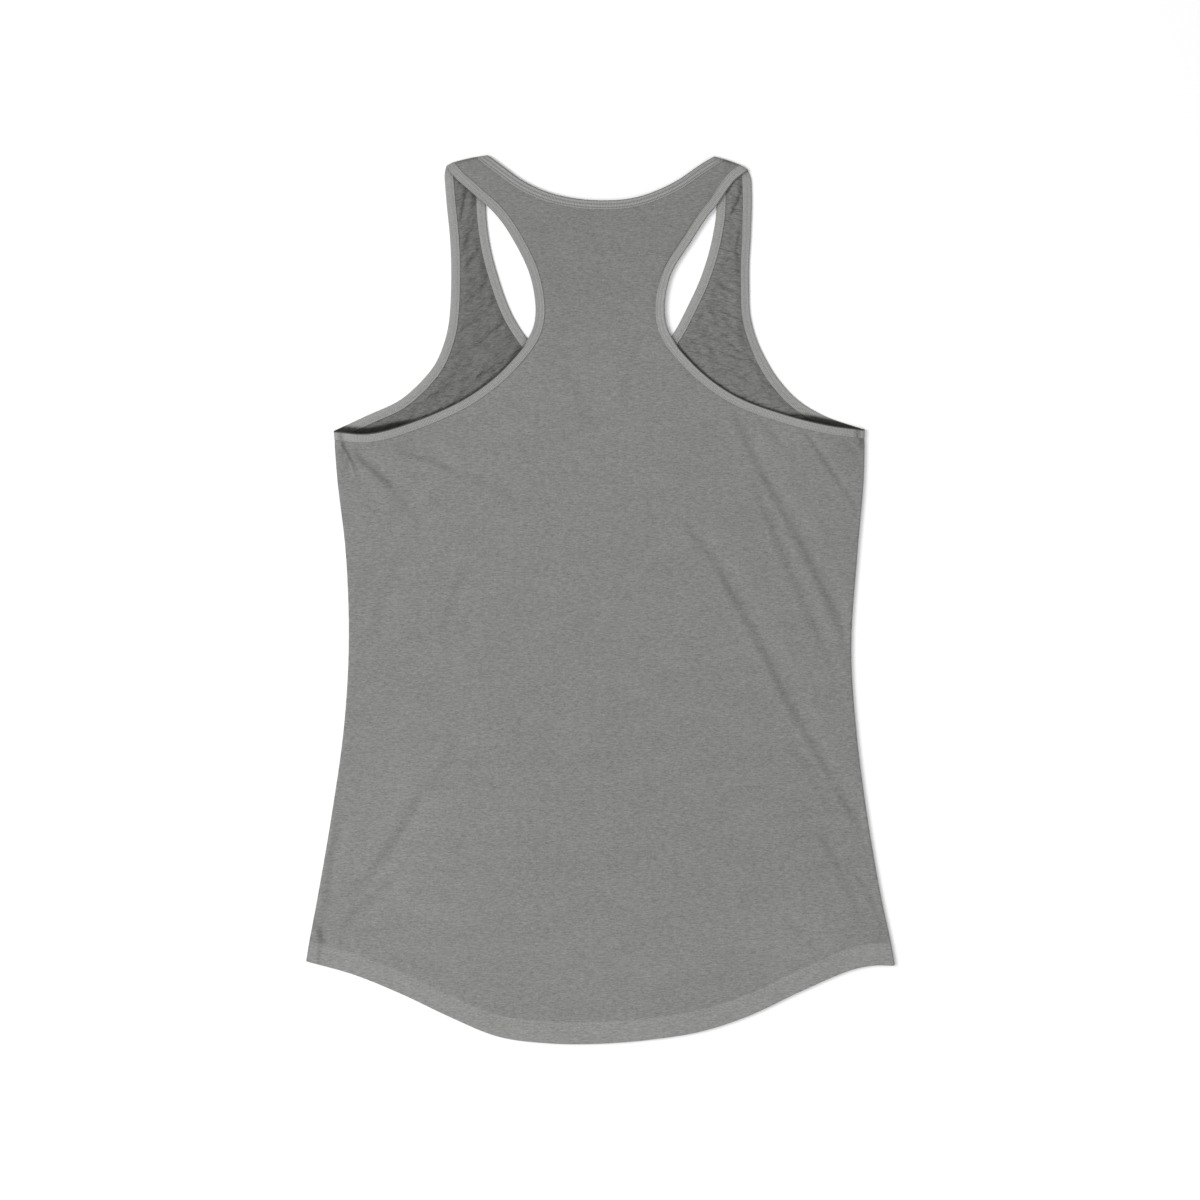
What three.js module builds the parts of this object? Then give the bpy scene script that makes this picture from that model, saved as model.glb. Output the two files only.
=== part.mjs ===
// A women's racerback tank top laid flat on a surface at z = 0, with its back up.
// Millimetres, +Z up. +Y runs from the hem to the shoulders and the wearer's left is at -X.
// The front panel lies face down under the back panel. A rounded fold joins them at the side
// seams and at the shoulders, and a narrow binding closes round the neck and round each armhole.

import * as THREE from "three";

// Sizes of the cloth.
const WALL = 1;
const HEM_WALL = 1.5;
const HEM_DEPTH = 17;
const BINDING_WIDTH = 7;
const BINDING_THICKNESS = 1.6;
const BINDING_ROUND = 0.4;
const SEAM_GAP = 0.3;
const CORNER_EASE = 1.6;

// Heights of the laid garment.
const BINDING_TOP = 4;
const PANEL_TOP = 3.7;
const BODY_SETTLE = 1.1;
const YOKE_SETTLE = 0.7;
const SETTLE_REACH = 24;
const HEM_CENTRE = -346.5;
const YOKE_START = 130;

// Fold radii: each fold is half a turn between the two layers.
const BINDING_RADIUS = BINDING_TOP / 2;
const PANEL_RADIUS = (PANEL_TOP - SEAM_GAP) / 2;
const FOLD_STEPS = 3;

// The grid of a panel across one half, from its middle to its side.
const BACK_COLUMNS = 12;
const FRONT_COLUMNS = 7;
const EDGE_STRIP = 3;

// Levels of the body, from the hem to the underarm, the same on both panels. centre is the
// level at the middle of the panel, left and right are the points on the side seams.
const BODY_ROWS = [
  { centre: -346.5, left: [-229.5, -282.5], right: [229.5, -285.5], steps: 1 },
  { centre: -330, left: [-226.8, -266], right: [226.6, -269], steps: 1 },
  { centre: -328.5, left: [-226.5, -264.5], right: [226.3, -267.5], steps: 2 },
  { centre: -275, left: [-219.5, -227], right: [218, -229], steps: 3 },
  { centre: -195, left: [-209, -165], right: [207.5, -167], steps: 3 },
  { centre: -120, left: [-200, -100], right: [199.3, -102], steps: 3 },
  { centre: -50, left: [-196.2, -35], right: [195.4, -38], steps: 3 },
  { centre: 20, left: [-198.5, 35], right: [200.2, 35], steps: 3 },
  { centre: 62, left: [-205, 92], right: [205, 92], steps: 2 },
  { centre: 92, left: [-208, 131], right: [206, 132] },
];

// The curved shirt-tail hem, as points from the left side seam to the right one.
const HEM_POINTS = [
  { x: -229.5, y: -282.5 },
  { x: -192, y: -293 },
  { x: -155, y: -308 },
  { x: -117, y: -326 },
  { x: -80, y: -341 },
  { x: -40, y: -346.3 },
  { x: 0, y: -346.5 },
  { x: 42, y: -343 },
  { x: 80, y: -336.5 },
  { x: 117, y: -324 },
  { x: 154, y: -306.5 },
  { x: 192, y: -290 },
  { x: 212, y: -285.5 },
  { x: 229.5, y: -285.5 },
];

// Levels above the underarm. neck is the point at the middle of the panel or, from the row
// where the two halves part, on the neckline, and arm is the point on the armhole's edge.
const FRONT_YOKE = {
  partingRow: 3,
  rows: [
    { neckLeft: [0, 92], armLeft: [-208, 131], neckRight: [0, 92], armRight: [206, 132], steps: 2 },
    { neckLeft: [0, 118], armLeft: [-182, 143], neckRight: [0, 118], armRight: [175, 142.5], steps: 2 },
    { neckLeft: [0, 144], armLeft: [-156.5, 155], neckRight: [0, 144], armRight: [154, 155], steps: 2 },
    { neckLeft: [0, 170], armLeft: [-138, 171.5], neckRight: [0, 170], armRight: [138.5, 171.5], steps: 1 },
    { neckLeft: [-17, 172], armLeft: [-128.5, 184], neckRight: [17, 172], armRight: [130.5, 184], steps: 1 },
    { neckLeft: [-33, 180], armLeft: [-122.5, 198], neckRight: [33, 180.5], armRight: [123.5, 198], steps: 1 },
    { neckLeft: [-47, 191.5], armLeft: [-119, 211], neckRight: [46.5, 193], armRight: [119, 211], steps: 1 },
    { neckLeft: [-60, 207], armLeft: [-117.4, 224], neckRight: [57.5, 208], armRight: [116.5, 224], steps: 1 },
    { neckLeft: [-70, 224], armLeft: [-116.6, 240], neckRight: [67, 226], armRight: [116, 240], steps: 2 },
    { neckLeft: [-79.5, 250], armLeft: [-116.5, 262], neckRight: [78, 250], armRight: [116, 262], steps: 2 },
    { neckLeft: [-86, 275], armLeft: [-117.5, 283], neckRight: [86, 276], armRight: [117.2, 283], steps: 2 },
    { neckLeft: [-89.5, 305], armLeft: [-120, 308], neckRight: [90.5, 305], armRight: [118, 308], steps: 3 },
    { neckLeft: [-88.5, 346.5], armLeft: [-122.5, 339], neckRight: [88.8, 345.5], armRight: [117.4, 335.5] },
  ],
};
const BACK_YOKE = {
  partingRow: 7,
  rows: [
    { neckLeft: [0, 92], armLeft: [-208, 131], neckRight: [0, 92], armRight: [206, 132], steps: 2 },
    { neckLeft: [0, 112], armLeft: [-180, 129], neckRight: [0, 112], armRight: [178, 135.5], steps: 2 },
    { neckLeft: [0, 134], armLeft: [-143, 139.5], neckRight: [0, 134], armRight: [144, 144], steps: 3 },
    { neckLeft: [0, 162], armLeft: [-101, 159.5], neckRight: [0, 162], armRight: [103, 160], steps: 2 },
    { neckLeft: [0, 190], armLeft: [-71, 184.5], neckRight: [0, 190], armRight: [71.5, 184.5], steps: 2 },
    { neckLeft: [0, 225], armLeft: [-52, 213], neckRight: [0, 225], armRight: [51.5, 213], steps: 2 },
    { neckLeft: [0, 268], armLeft: [-54, 249], neckRight: [0, 268], armRight: [53.5, 249], steps: 3 },
    { neckLeft: [0, 310.5], armLeft: [-72, 286.5], neckRight: [0, 310.5], armRight: [71.5, 280], steps: 1 },
    { neckLeft: [-23, 312.5], armLeft: [-84, 302], neckRight: [23, 312], armRight: [83, 297.5], steps: 1 },
    { neckLeft: [-43, 317.5], armLeft: [-94, 311], neckRight: [42, 317.5], armRight: [91.5, 308], steps: 1 },
    { neckLeft: [-61, 326], armLeft: [-103, 319], neckRight: [60.5, 326.5], armRight: [98.5, 318.5], steps: 1 },
    { neckLeft: [-75, 336], armLeft: [-112, 327], neckRight: [75, 336.5], armRight: [106, 327.5], steps: 2 },
    { neckLeft: [-88.5, 346.5], armLeft: [-122.5, 339], neckRight: [88.8, 345.5], armRight: [117.4, 335.5] },
  ],
};

// The largest creases of the back panel. bend moves the middle of the crease to its left as
// seen from its start, half is the distance from its crest to its foot.
const CREASES = [
  { from: [103, 122], to: [186, -52], bend: 8, half: 26, height: 2.4 },
  { from: [6, 96], to: [188, -158], bend: 14, half: 24, height: 2 },
  { from: [112, -60], to: [196, -172], bend: -5, half: 22, height: 1.4 },
  { from: [146, -190], to: [210, -256], bend: 5, half: 22, height: 1.8 },
  { from: [-186, 104], to: [-140, 58], bend: 4, half: 22, height: 2 },
  { from: [-96, 124], to: [-182, -20], bend: 10, half: 24, height: 1.8 },
  { from: [-98, 28], to: [-128, -52], bend: -4, half: 22, height: 1.2 },
  { from: [-122, -112], to: [-200, -252], bend: -8, half: 26, height: 2 },
];

// The back panel stands open a little over each underarm.
const UNDERARM_LIFTS = [
  { x: -158, y: 136, reachX: 34, reachY: 30, height: 2.2 },
  { x: 160, y: 141, reachX: 32, reachY: 28, height: 1.8 },
];

const JERSEY = 0x858583;
const BINDING_JERSEY = 0x8f8f8d;

// Plane vectors.
const plus = (a, b, scale = 1) => [a[0] + b[0] * scale, a[1] + b[1] * scale];
const minus = (a, b) => [a[0] - b[0], a[1] - b[1]];
const dot = (a, b) => a[0] * b[0] + a[1] * b[1];
const cross = (a, b) => a[0] * b[1] - a[1] * b[0];
const unit = (a) => [a[0] / Math.hypot(...a), a[1] / Math.hypot(...a)];
const between = (a, b, share) => plus(a, minus(b, a), share);

// 0 up to the first bound, 1 from the second, and smooth in between.
function ramp(value, low, high) {
  const share = Math.min(1, Math.max(0, (value - low) / (high - low)));
  return share * share * (3 - 2 * share);
}

// Points on a smooth curve through the given ones, with a number of steps to each next point.
function smoothLine(points, steps) {
  const curve = new THREE.CatmullRomCurve3(
    points.map(([x, y]) => new THREE.Vector3(x, y, 0)),
    false,
    "centripetal",
  );
  const spans = points.length - 1;
  const line = [];
  for (let span = 0; span < spans; span += 1) {
    for (let step = 0; step < steps[span]; step += 1) {
      const point = curve.getPoint((span + step / steps[span]) / spans);
      line.push([point.x, point.y]);
    }
  }
  line.push(points[spans]);
  return line;
}

// The level of the hem at a place across the garment.
function hemLevel(x) {
  const last = HEM_POINTS.length - 2;
  const found = HEM_POINTS.findIndex((point, i) => i > 0 && x <= point.x) - 1;
  const i = Math.min(last, Math.max(0, found));
  const [a, b] = [HEM_POINTS[i], HEM_POINTS[i + 1]];
  const before = HEM_POINTS[Math.max(0, i - 1)];
  const after = HEM_POINTS[Math.min(last + 1, i + 2)];
  const slopeA = (b.y - before.y) / (b.x - before.x);
  const slopeB = (after.y - a.y) / (after.x - a.x);
  const width = b.x - a.x;
  const s = (x - a.x) / width;
  const hermite = a.y * (1 + 2 * s) * (1 - s) ** 2 + b.y * s * s * (3 - 2 * s);
  return hermite + width * (slopeA * s * (1 - s) ** 2 + slopeB * s * s * (s - 1));
}

// The free direction at each point of an edge, away from the cloth.
function edgeNormals(line, turn) {
  return line.map((point, i) => {
    const along = unit(minus(line[Math.min(i + 1, line.length - 1)], line[Math.max(i - 1, 0)]));
    return [along[1] * turn, -along[0] * turn];
  });
}

// A bound edge: the binding's free edge, the binding's inner edge, and the panel's cut edge.
function boundEdge(free, normal) {
  return {
    free,
    cloth: plus(free, normal, -BINDING_WIDTH),
    panel: plus(free, normal, -BINDING_WIDTH - SEAM_GAP),
  };
}

// The same three points where the edge runs into a fold. corner lies on the fold line, along
// leaves it down the bound edge, and into runs on the fold line towards the cloth. The gap is
// double there, because the layers turn at different radii.
function foldEnd(corner, along, into, out) {
  const across = Math.abs(cross(into, along));
  const inset = 1 / Math.abs(dot(along, out));
  const free = plus(corner, along, BINDING_RADIUS * inset);
  const panelStart = plus(free, out, BINDING_RADIUS - PANEL_RADIUS);
  return {
    free,
    cloth: plus(free, into, BINDING_WIDTH / across),
    panel: plus(panelStart, into, (BINDING_WIDTH + 2 * SEAM_GAP) / across),
  };
}

const total = (numbers) => numbers.reduce((sum, number) => sum + number, 0);
const SIDES = [
  { name: "left", sign: -1, neck: "neckLeft", arm: "armLeft" },
  { name: "right", sign: 1, neck: "neckRight", arm: "armRight" },
];

// The bound edges of one panel: for each side, the line up the middle and the neckline, the
// armhole's edge, and the places where both run into the folds.
function yokeLines({ partingRow, rows }) {
  const steps = rows.slice(0, -1).map((row) => row.steps);
  const parting = total(steps.slice(0, partingRow));
  const neckSteps = steps.slice(partingRow);
  const leftNeck = rows.slice(partingRow).map((row) => row.neckLeft);
  const rightNeck = rows.slice(partingRow + 1).map((row) => row.neckRight);
  const neckline = smoothLine(
    [...leftNeck.reverse(), ...rightNeck],
    [...neckSteps.slice().reverse(), ...neckSteps],
  );
  const middle = total(neckSteps);
  const lines = {};
  for (const side of SIDES) {
    const centre = smoothLine(
      rows.slice(0, partingRow + 1).map((row) => row[side.neck]),
      steps.slice(0, partingRow),
    );
    const neck = side.sign < 0 ? neckline.slice(0, middle + 1).reverse() : neckline.slice(middle);
    const arm = smoothLine(rows.map((row) => row[side.arm]), steps);
    const neckNormals = edgeNormals(neck, -side.sign);
    neckNormals[0] = [0, 1];
    const armNormals = edgeNormals(arm, side.sign);
    lines[side.name] = {
      parting,
      centre,
      neck: neck.map((point, i) => boundEdge(point, neckNormals[i])),
      arm: arm.map((point, i) => boundEdge(point, armNormals[i])),
      neckAlong: unit(minus(neck.at(-2), neck.at(-1))),
      armTopAlong: unit(minus(arm.at(-2), arm.at(-1))),
      armLowAlong: unit(minus(arm[1], arm[0])),
    };
  }
  return lines;
}

const frontLines = yokeLines(FRONT_YOKE);
const backLines = yokeLines(BACK_YOKE);

// The fold lines at the shoulder and at the top of the side seam, for one side.
function foldsOf(side) {
  const top = FRONT_YOKE.rows.at(-1);
  const [neckPoint, armPoint] = [top[side.neck], top[side.arm]];
  const seam = BODY_ROWS.slice(-2).map((row) => row[side.name]);
  const shoulder = unit(minus(armPoint, neckPoint));
  const down = unit(minus(seam[0], seam[1]));
  const shoulderOut = [shoulder[1] * side.sign * -1, shoulder[0] * side.sign];
  const sideOut = [-down[1] * side.sign, down[0] * side.sign];
  const ends = (lines) => ({
    neck: foldEnd(neckPoint, lines.neckAlong, shoulder, shoulderOut),
    armTop: foldEnd(armPoint, lines.armTopAlong, [-shoulder[0], -shoulder[1]], shoulderOut),
    armLow: foldEnd(seam[1], lines.armLowAlong, down, sideOut),
  });
  return {
    shoulderOut,
    sideOut,
    down,
    front: ends(frontLines[side.name]),
    back: ends(backLines[side.name]),
  };
}

const folds = { left: foldsOf(SIDES[0]), right: foldsOf(SIDES[1]) };

// How far the back panel stands open over the underarms.
function underarmLift([x, y]) {
  return total(
    UNDERARM_LIFTS.map(
      (lift) =>
        lift.height * Math.exp(-(((x - lift.x) / lift.reachX) ** 2) - ((y - lift.y) / lift.reachY) ** 2),
    ),
  );
}

// The height that the creases add at a point of the back panel.
function creaseHeight(point) {
  let height = 0;
  for (const crease of CREASES) {
    const run = minus(crease.to, crease.from);
    const share = dot(minus(point, crease.from), run) / dot(run, run);
    const ends = ramp(share, -0.08, 0.25) * (1 - ramp(share, 0.7, 1.08));
    const bow = crease.bend * 4 * share * (1 - share);
    const away = Math.abs(cross(unit(run), minus(point, crease.from)) - bow) / crease.half;
    if (away < 1) height += crease.height * ends * (1 - away * away) ** 2;
  }
  return height;
}

// How far a point of the back panel has settled towards the front panel: 0 at its edges.
function settled(point, edgePoints) {
  const clear = Math.min(...edgePoints.map((edge) => Math.hypot(...minus(point, edge))));
  const aboveHem = point[1] - hemLevel(point[0]);
  return ramp(clear, 2, SETTLE_REACH) * ramp(aboveHem, HEM_DEPTH, HEM_DEPTH + SETTLE_REACH);
}

// The two layers of the laid garment. turn is the angle round a fold: 0 is flat below, 180 flat
// on top. centre is the height of the fold's axis.
const LAYERS = {
  front: {
    lines: frontLines,
    columns: FRONT_COLUMNS,
    mostSteps: 1,
    turns: [0, 30, 60, 90],
    centre: PANEL_RADIUS,
  },
  back: {
    lines: backLines,
    columns: BACK_COLUMNS,
    mostSteps: 3,
    turns: [180, 150, 120, 90],
    centre: PANEL_TOP - PANEL_RADIUS,
  },
};

// A point of a wall at an angle round a fold: its outer and inner surfaces.
function foldPoint(base, out, degrees, centre, outerRadius, innerRadius, raise = 0) {
  const angle = THREE.MathUtils.degToRad(degrees);
  const at = (radius) => {
    const [x, y] = plus(base, out, radius * Math.sin(angle));
    return new THREE.Vector3(x, y, centre - radius * Math.cos(angle) + raise);
  };
  return { outer: at(outerRadius), inner: at(innerRadius) };
}

// The rows of one half of a panel, each a list of points from the middle to the side.
function panelRows(layerName, side) {
  const layer = LAYERS[layerName];
  const lines = layer.lines[side.name];
  const fold = folds[side.name];
  const ends = fold[layerName];
  const isBack = layerName === "back";
  const bodySteps = BODY_ROWS.slice(0, -1).map((row) => Math.min(row.steps, layer.mostSteps));
  const middles = smoothLine(BODY_ROWS.map((row) => [0, row.centre]), bodySteps);
  const seam = smoothLine(BODY_ROWS.map((row) => row[side.name]), bodySteps);
  const seamNormals = edgeNormals(seam, side.sign);
  const seamEdges = seam.map((point, i) => plus(point, seamNormals[i], -PANEL_RADIUS));
  const edgePoints = [
    ...seamEdges.slice(0, -1),
    ...lines.arm.map((edge) => edge.panel),
    ...lines.neck.map((edge) => edge.panel),
  ];
  const fromHem = (point) => point[1] - hemLevel(point[0]);

  // One flat point, with the settling, the creases and the lift of the back panel.
  const flatPoint = (point, shoulderShare = 1) => {
    const wall = fromHem(point) < HEM_DEPTH ? HEM_WALL : WALL;
    let raise = 0;
    if (isBack) {
      const settle = settled(point, edgePoints) * shoulderShare;
      const most = BODY_SETTLE + (YOKE_SETTLE - BODY_SETTLE) * ramp(point[1], YOKE_START - 30, YOKE_START);
      raise = underarmLift(point) + settle * (creaseHeight(point) - most);
    }
    return foldPoint(point, [0, 0], layer.turns[0], layer.centre, PANEL_RADIUS, PANEL_RADIUS - wall, raise);
  };

  // A body row: flat columns along the rib, bent down to the hem's curve, and then the fold.
  const bodyRow = (middle, edge, foldBase, out, fade) => {
    const row = [];
    for (let column = 0; column <= layer.columns; column += 1) {
      const point = between(middle, edge, column / layer.columns);
      const straight = HEM_CENTRE + (hemLevel(edge[0]) - HEM_CENTRE) * (column / layer.columns);
      point[1] += (hemLevel(point[0]) - straight) * fade;
      row.push(flatPoint(point));
    }
    const wall = fromHem(edge) < HEM_DEPTH - 1 ? HEM_WALL : WALL;
    row.pop();
    for (const turn of layer.turns) {
      const base = foldBase(turn);
      row.push(foldPoint(base, out, turn, layer.centre, PANEL_RADIUS, PANEL_RADIUS - wall));
    }
    return row;
  };

  const rows = [];
  for (let i = 0; i < seam.length - 1; i += 1) {
    const height = middles[i][1] - HEM_CENTRE;
    const fade = 1 - ramp(height, HEM_DEPTH + 4, 170);
    rows.push(bodyRow(middles[i], seamEdges[i], () => seamEdges[i], seamNormals[i], fade));
  }
  const cornerBase = (turn) => {
    const corner = between(fold.front.armLow.panel, fold.back.armLow.panel, turn / 180);
    return plus(corner, fold.down, CORNER_EASE * Math.sin(THREE.MathUtils.degToRad(turn)));
  };
  rows.push(bodyRow(lines.centre[0], ends.armLow.panel, cornerBase, fold.sideOut, 0));

  // The rows above the underarm end on the armhole's cut edge.
  const top = lines.arm.length - 1;
  for (let i = 1; i <= top; i += 1) {
    const atTop = i === top;
    const neckEdge = atTop ? ends.neck : lines.neck[i - lines.parting];
    const neckPoint = i < lines.parting ? lines.centre[i] : neckEdge.panel;
    const armPoint = atTop ? ends.armTop.panel : lines.arm[i].panel;
    const width = Math.hypot(...minus(armPoint, neckPoint));
    const strip = Math.min(EDGE_STRIP / width, 0.2);
    const shoulderShare = ramp(top - i, 0, 3);
    const row = [];
    for (let column = 0; column <= layer.columns; column += 1) {
      const share = (1 - strip) * (column / layer.columns);
      row.push(flatPoint(between(neckPoint, armPoint, share), shoulderShare));
    }
    for (let step = 1; step <= FOLD_STEPS; step += 1) {
      const share = 1 - strip * (1 - step / FOLD_STEPS);
      row.push(flatPoint(between(neckPoint, armPoint, share), shoulderShare));
    }
    rows.push(row);
  }

  // The fold over the shoulder.
  const shares = rows.at(-1).map((point, column) => {
    const strip = Math.min(EDGE_STRIP / Math.hypot(...minus(ends.armTop.panel, ends.neck.panel)), 0.2);
    if (column <= layer.columns) return ((1 - strip) * column) / layer.columns;
    return 1 - strip * (1 - (column - layer.columns) / FOLD_STEPS);
  });
  for (const turn of layer.turns.slice(1)) {
    const neckBase = between(fold.front.neck.panel, fold.back.neck.panel, turn / 180);
    const armBase = between(fold.front.armTop.panel, fold.back.armTop.panel, turn / 180);
    rows.push(
      shares.map((share) =>
        foldPoint(
          between(neckBase, armBase, share),
          fold.shoulderOut,
          turn,
          layer.centre,
          PANEL_RADIUS,
          PANEL_RADIUS - WALL,
        ),
      ),
    );
  }
  return { rows, partingRow: seam.length - 1 + lines.parting };
}

// A closed mesh from four-cornered faces, turned to face outwards.
function closedMesh(name, faces, material) {
  const corners = [];
  for (const [a, b, c, d] of faces) corners.push(a, b, c, a, c, d);
  let volume = 0;
  for (let i = 0; i < corners.length; i += 3) {
    volume += corners[i].dot(corners[i + 1].clone().cross(corners[i + 2]));
  }
  if (volume < 0) {
    for (let i = 0; i < corners.length; i += 3) {
      [corners[i + 1], corners[i + 2]] = [corners[i + 2], corners[i + 1]];
    }
  }
  const geometry = new THREE.BufferGeometry().setFromPoints(corners);
  geometry.computeVertexNormals();
  const mesh = new THREE.Mesh(geometry, material);
  mesh.name = name;
  return mesh;
}

// One panel: both halves share the points up their middle as far as the neckline.
function panel(name, layerName) {
  const faces = [];
  for (const side of SIDES) {
    const { rows, partingRow } = panelRows(layerName, side);
    const last = rows[0].length - 1;
    const add = (a, b, c, d) => faces.push(side.sign < 0 ? [d, c, b, a] : [a, b, c, d]);
    for (let r = 0; r < rows.length - 1; r += 1) {
      const [low, high] = [rows[r], rows[r + 1]];
      for (let c = 0; c < last; c += 1) {
        add(low[c].outer, low[c + 1].outer, high[c + 1].outer, high[c].outer);
        add(high[c].inner, high[c + 1].inner, low[c + 1].inner, low[c].inner);
      }
      add(low[last].outer, low[last].inner, high[last].inner, high[last].outer);
      if (r >= partingRow) add(high[0].outer, high[0].inner, low[0].inner, low[0].outer);
    }
    const [hem, shoulder] = [rows[0], rows.at(-1)];
    for (let c = 0; c < last; c += 1) {
      add(hem[c].inner, hem[c + 1].inner, hem[c + 1].outer, hem[c].outer);
      add(shoulder[c].outer, shoulder[c + 1].outer, shoulder[c + 1].inner, shoulder[c].inner);
    }
  }
  const material = new THREE.MeshStandardMaterial({ color: JERSEY, roughness: 0.95, metalness: 0 });
  return closedMesh(name, faces, material);
}

// The section of a binding between its free edge and its inner edge, as eight points.
function bindingSection({ free, cloth }, out, turn) {
  const inner = BINDING_RADIUS - BINDING_THICKNESS;
  const width = Math.hypot(...minus(cloth, free));
  const round = BINDING_ROUND / width;
  const corners = [
    [round, BINDING_RADIUS],
    [1 - round, BINDING_RADIUS],
    [1, BINDING_RADIUS - BINDING_ROUND],
    [1, inner + BINDING_ROUND],
    [1 - round, inner],
    [round, inner],
    [0, inner + BINDING_ROUND],
    [0, BINDING_RADIUS - BINDING_ROUND],
  ];
  return corners.map(([share, radius]) => {
    const base = between(free, cloth, share);
    const raise = turn === 180 ? underarmLift(base) : 0;
    return foldPoint(base, out, turn, BINDING_RADIUS, radius, radius, raise).outer;
  });
}

// The sections of a binding round a fold, from the layer below to the one on top.
function bindingFold(frontEnd, backEnd, out) {
  const sections = [];
  for (let turn = 0; turn <= 180; turn += 180 / (2 * FOLD_STEPS)) {
    const ends = {
      free: between(frontEnd.free, backEnd.free, turn / 180),
      cloth: between(frontEnd.cloth, backEnd.cloth, turn / 180),
    };
    sections.push(bindingSection(ends, out, turn));
  }
  return sections;
}

// A closed band through its sections.
function binding(name, sections) {
  const faces = [];
  sections.forEach((section, i) => {
    const next = sections[(i + 1) % sections.length];
    section.forEach((point, j) => {
      const k = (j + 1) % section.length;
      faces.push([point, section[k], next[k], next[j]]);
    });
  });
  const material = new THREE.MeshStandardMaterial({
    color: BINDING_JERSEY,
    roughness: 0.92,
    metalness: 0,
  });
  return closedMesh(name, faces, material);
}

const flatSections = (edges, turn) => edges.map((edge) => bindingSection(edge, [0, 0], turn));

// Up the front armhole, over the shoulder, down the back armhole and round the side seam.
function armholeBinding(side) {
  const fold = folds[side.name];
  const front = frontLines[side.name].arm.slice(1, -1);
  const back = backLines[side.name].arm.slice(1, -1).reverse();
  return binding(`armhole_binding_${side.name}`, [
    ...flatSections(front, 0),
    ...bindingFold(fold.front.armTop, fold.back.armTop, fold.shoulderOut),
    ...flatSections(back, 180),
    ...bindingFold(fold.front.armLow, fold.back.armLow, fold.sideOut).reverse(),
  ]);
}

// Round the front neckline from its middle, over the shoulders and round the back of the neck.
function neckBinding() {
  const [left, right] = SIDES.map((side) => ({
    front: frontLines[side.name].neck.slice(0, -1),
    back: backLines[side.name].neck.slice(0, -1),
    over: bindingFold(
      folds[side.name].front.neck,
      folds[side.name].back.neck,
      folds[side.name].shoulderOut,
    ),
  }));
  return binding("neck_binding", [
    ...flatSections(left.front, 0),
    ...left.over,
    ...flatSections(left.back.slice(1).reverse(), 180),
    ...flatSections(right.back, 180),
    ...right.over.reverse(),
    ...flatSections(right.front.slice(1).reverse(), 0),
  ]);
}

const tankTop = new THREE.Group();
tankTop.add(
  panel("front_panel", "front"),
  panel("back_panel", "back"),
  neckBinding(),
  ...SIDES.map(armholeBinding),
);

export default tankTop;
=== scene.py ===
# %% [markdown]
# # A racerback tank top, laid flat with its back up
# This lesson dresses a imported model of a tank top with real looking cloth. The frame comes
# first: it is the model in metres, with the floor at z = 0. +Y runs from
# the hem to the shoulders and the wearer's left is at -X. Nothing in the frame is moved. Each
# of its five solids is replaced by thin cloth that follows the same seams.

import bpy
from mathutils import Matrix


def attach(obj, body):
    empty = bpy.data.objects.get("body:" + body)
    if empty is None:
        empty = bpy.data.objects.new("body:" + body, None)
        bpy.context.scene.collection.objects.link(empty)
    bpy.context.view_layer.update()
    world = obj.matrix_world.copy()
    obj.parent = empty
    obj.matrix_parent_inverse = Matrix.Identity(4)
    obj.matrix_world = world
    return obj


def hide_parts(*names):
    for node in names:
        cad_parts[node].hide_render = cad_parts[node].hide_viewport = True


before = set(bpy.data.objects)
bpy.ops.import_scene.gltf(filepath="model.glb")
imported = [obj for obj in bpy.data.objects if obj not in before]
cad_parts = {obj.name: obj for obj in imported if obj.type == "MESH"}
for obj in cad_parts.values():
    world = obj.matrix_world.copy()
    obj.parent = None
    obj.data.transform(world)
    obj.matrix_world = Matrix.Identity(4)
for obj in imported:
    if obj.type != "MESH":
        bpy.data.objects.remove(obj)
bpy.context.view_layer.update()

# %% Libraries
import math
from collections import namedtuple

import bmesh
import bpy
from mathutils import Matrix, Vector, kdtree, noise

# %% [markdown]
# ## The pattern
# A maker drafts a shirt as a few measured levels: how wide it is at the hem, at the waist and
# at the underarm, and where the neckline and the armholes run. The same tables that shaped the
# solids are written here in millimetres, so the cloth and the solids share every seam. MM
# turns a finished point into Blender's metres.

# %% Measured levels of the body and the yokes
MM = 0.001

# middle: level at the middle of the panel. left, right: points on the side seams.
BodyLevel = namedtuple("BodyLevel", "middle left right rows")
BODY = [
    BodyLevel(-346.5, (-229.5, -282.5), (229.5, -285.5), 7),
    BodyLevel(-330, (-226.8, -266), (226.6, -269), 2),
    BodyLevel(-328.5, (-226.5, -264.5), (226.3, -267.5), 14),
    BodyLevel(-275, (-219.5, -227), (218, -229), 19),
    BodyLevel(-195, (-209, -165), (207.5, -167), 18),
    BodyLevel(-120, (-200, -100), (199.3, -102), 18),
    BodyLevel(-50, (-196.2, -35), (195.4, -38), 18),
    BodyLevel(20, (-198.5, 35), (200.2, 35), 14),
    BodyLevel(62, (-205, 92), (205, 92), 20),
    BodyLevel(92, (-208, 131), (206, 132), 0),
]

# The curved shirt-tail hem, from the left side seam to the right one.
HEM = [
    (-229.5, -282.5), (-192, -293), (-155, -308), (-117, -326), (-80, -341), (-40, -346.3),
    (0, -346.5), (42, -343), (80, -336.5), (117, -324), (154, -306.5), (192, -290),
    (212, -285.5), (229.5, -285.5),
]

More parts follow.
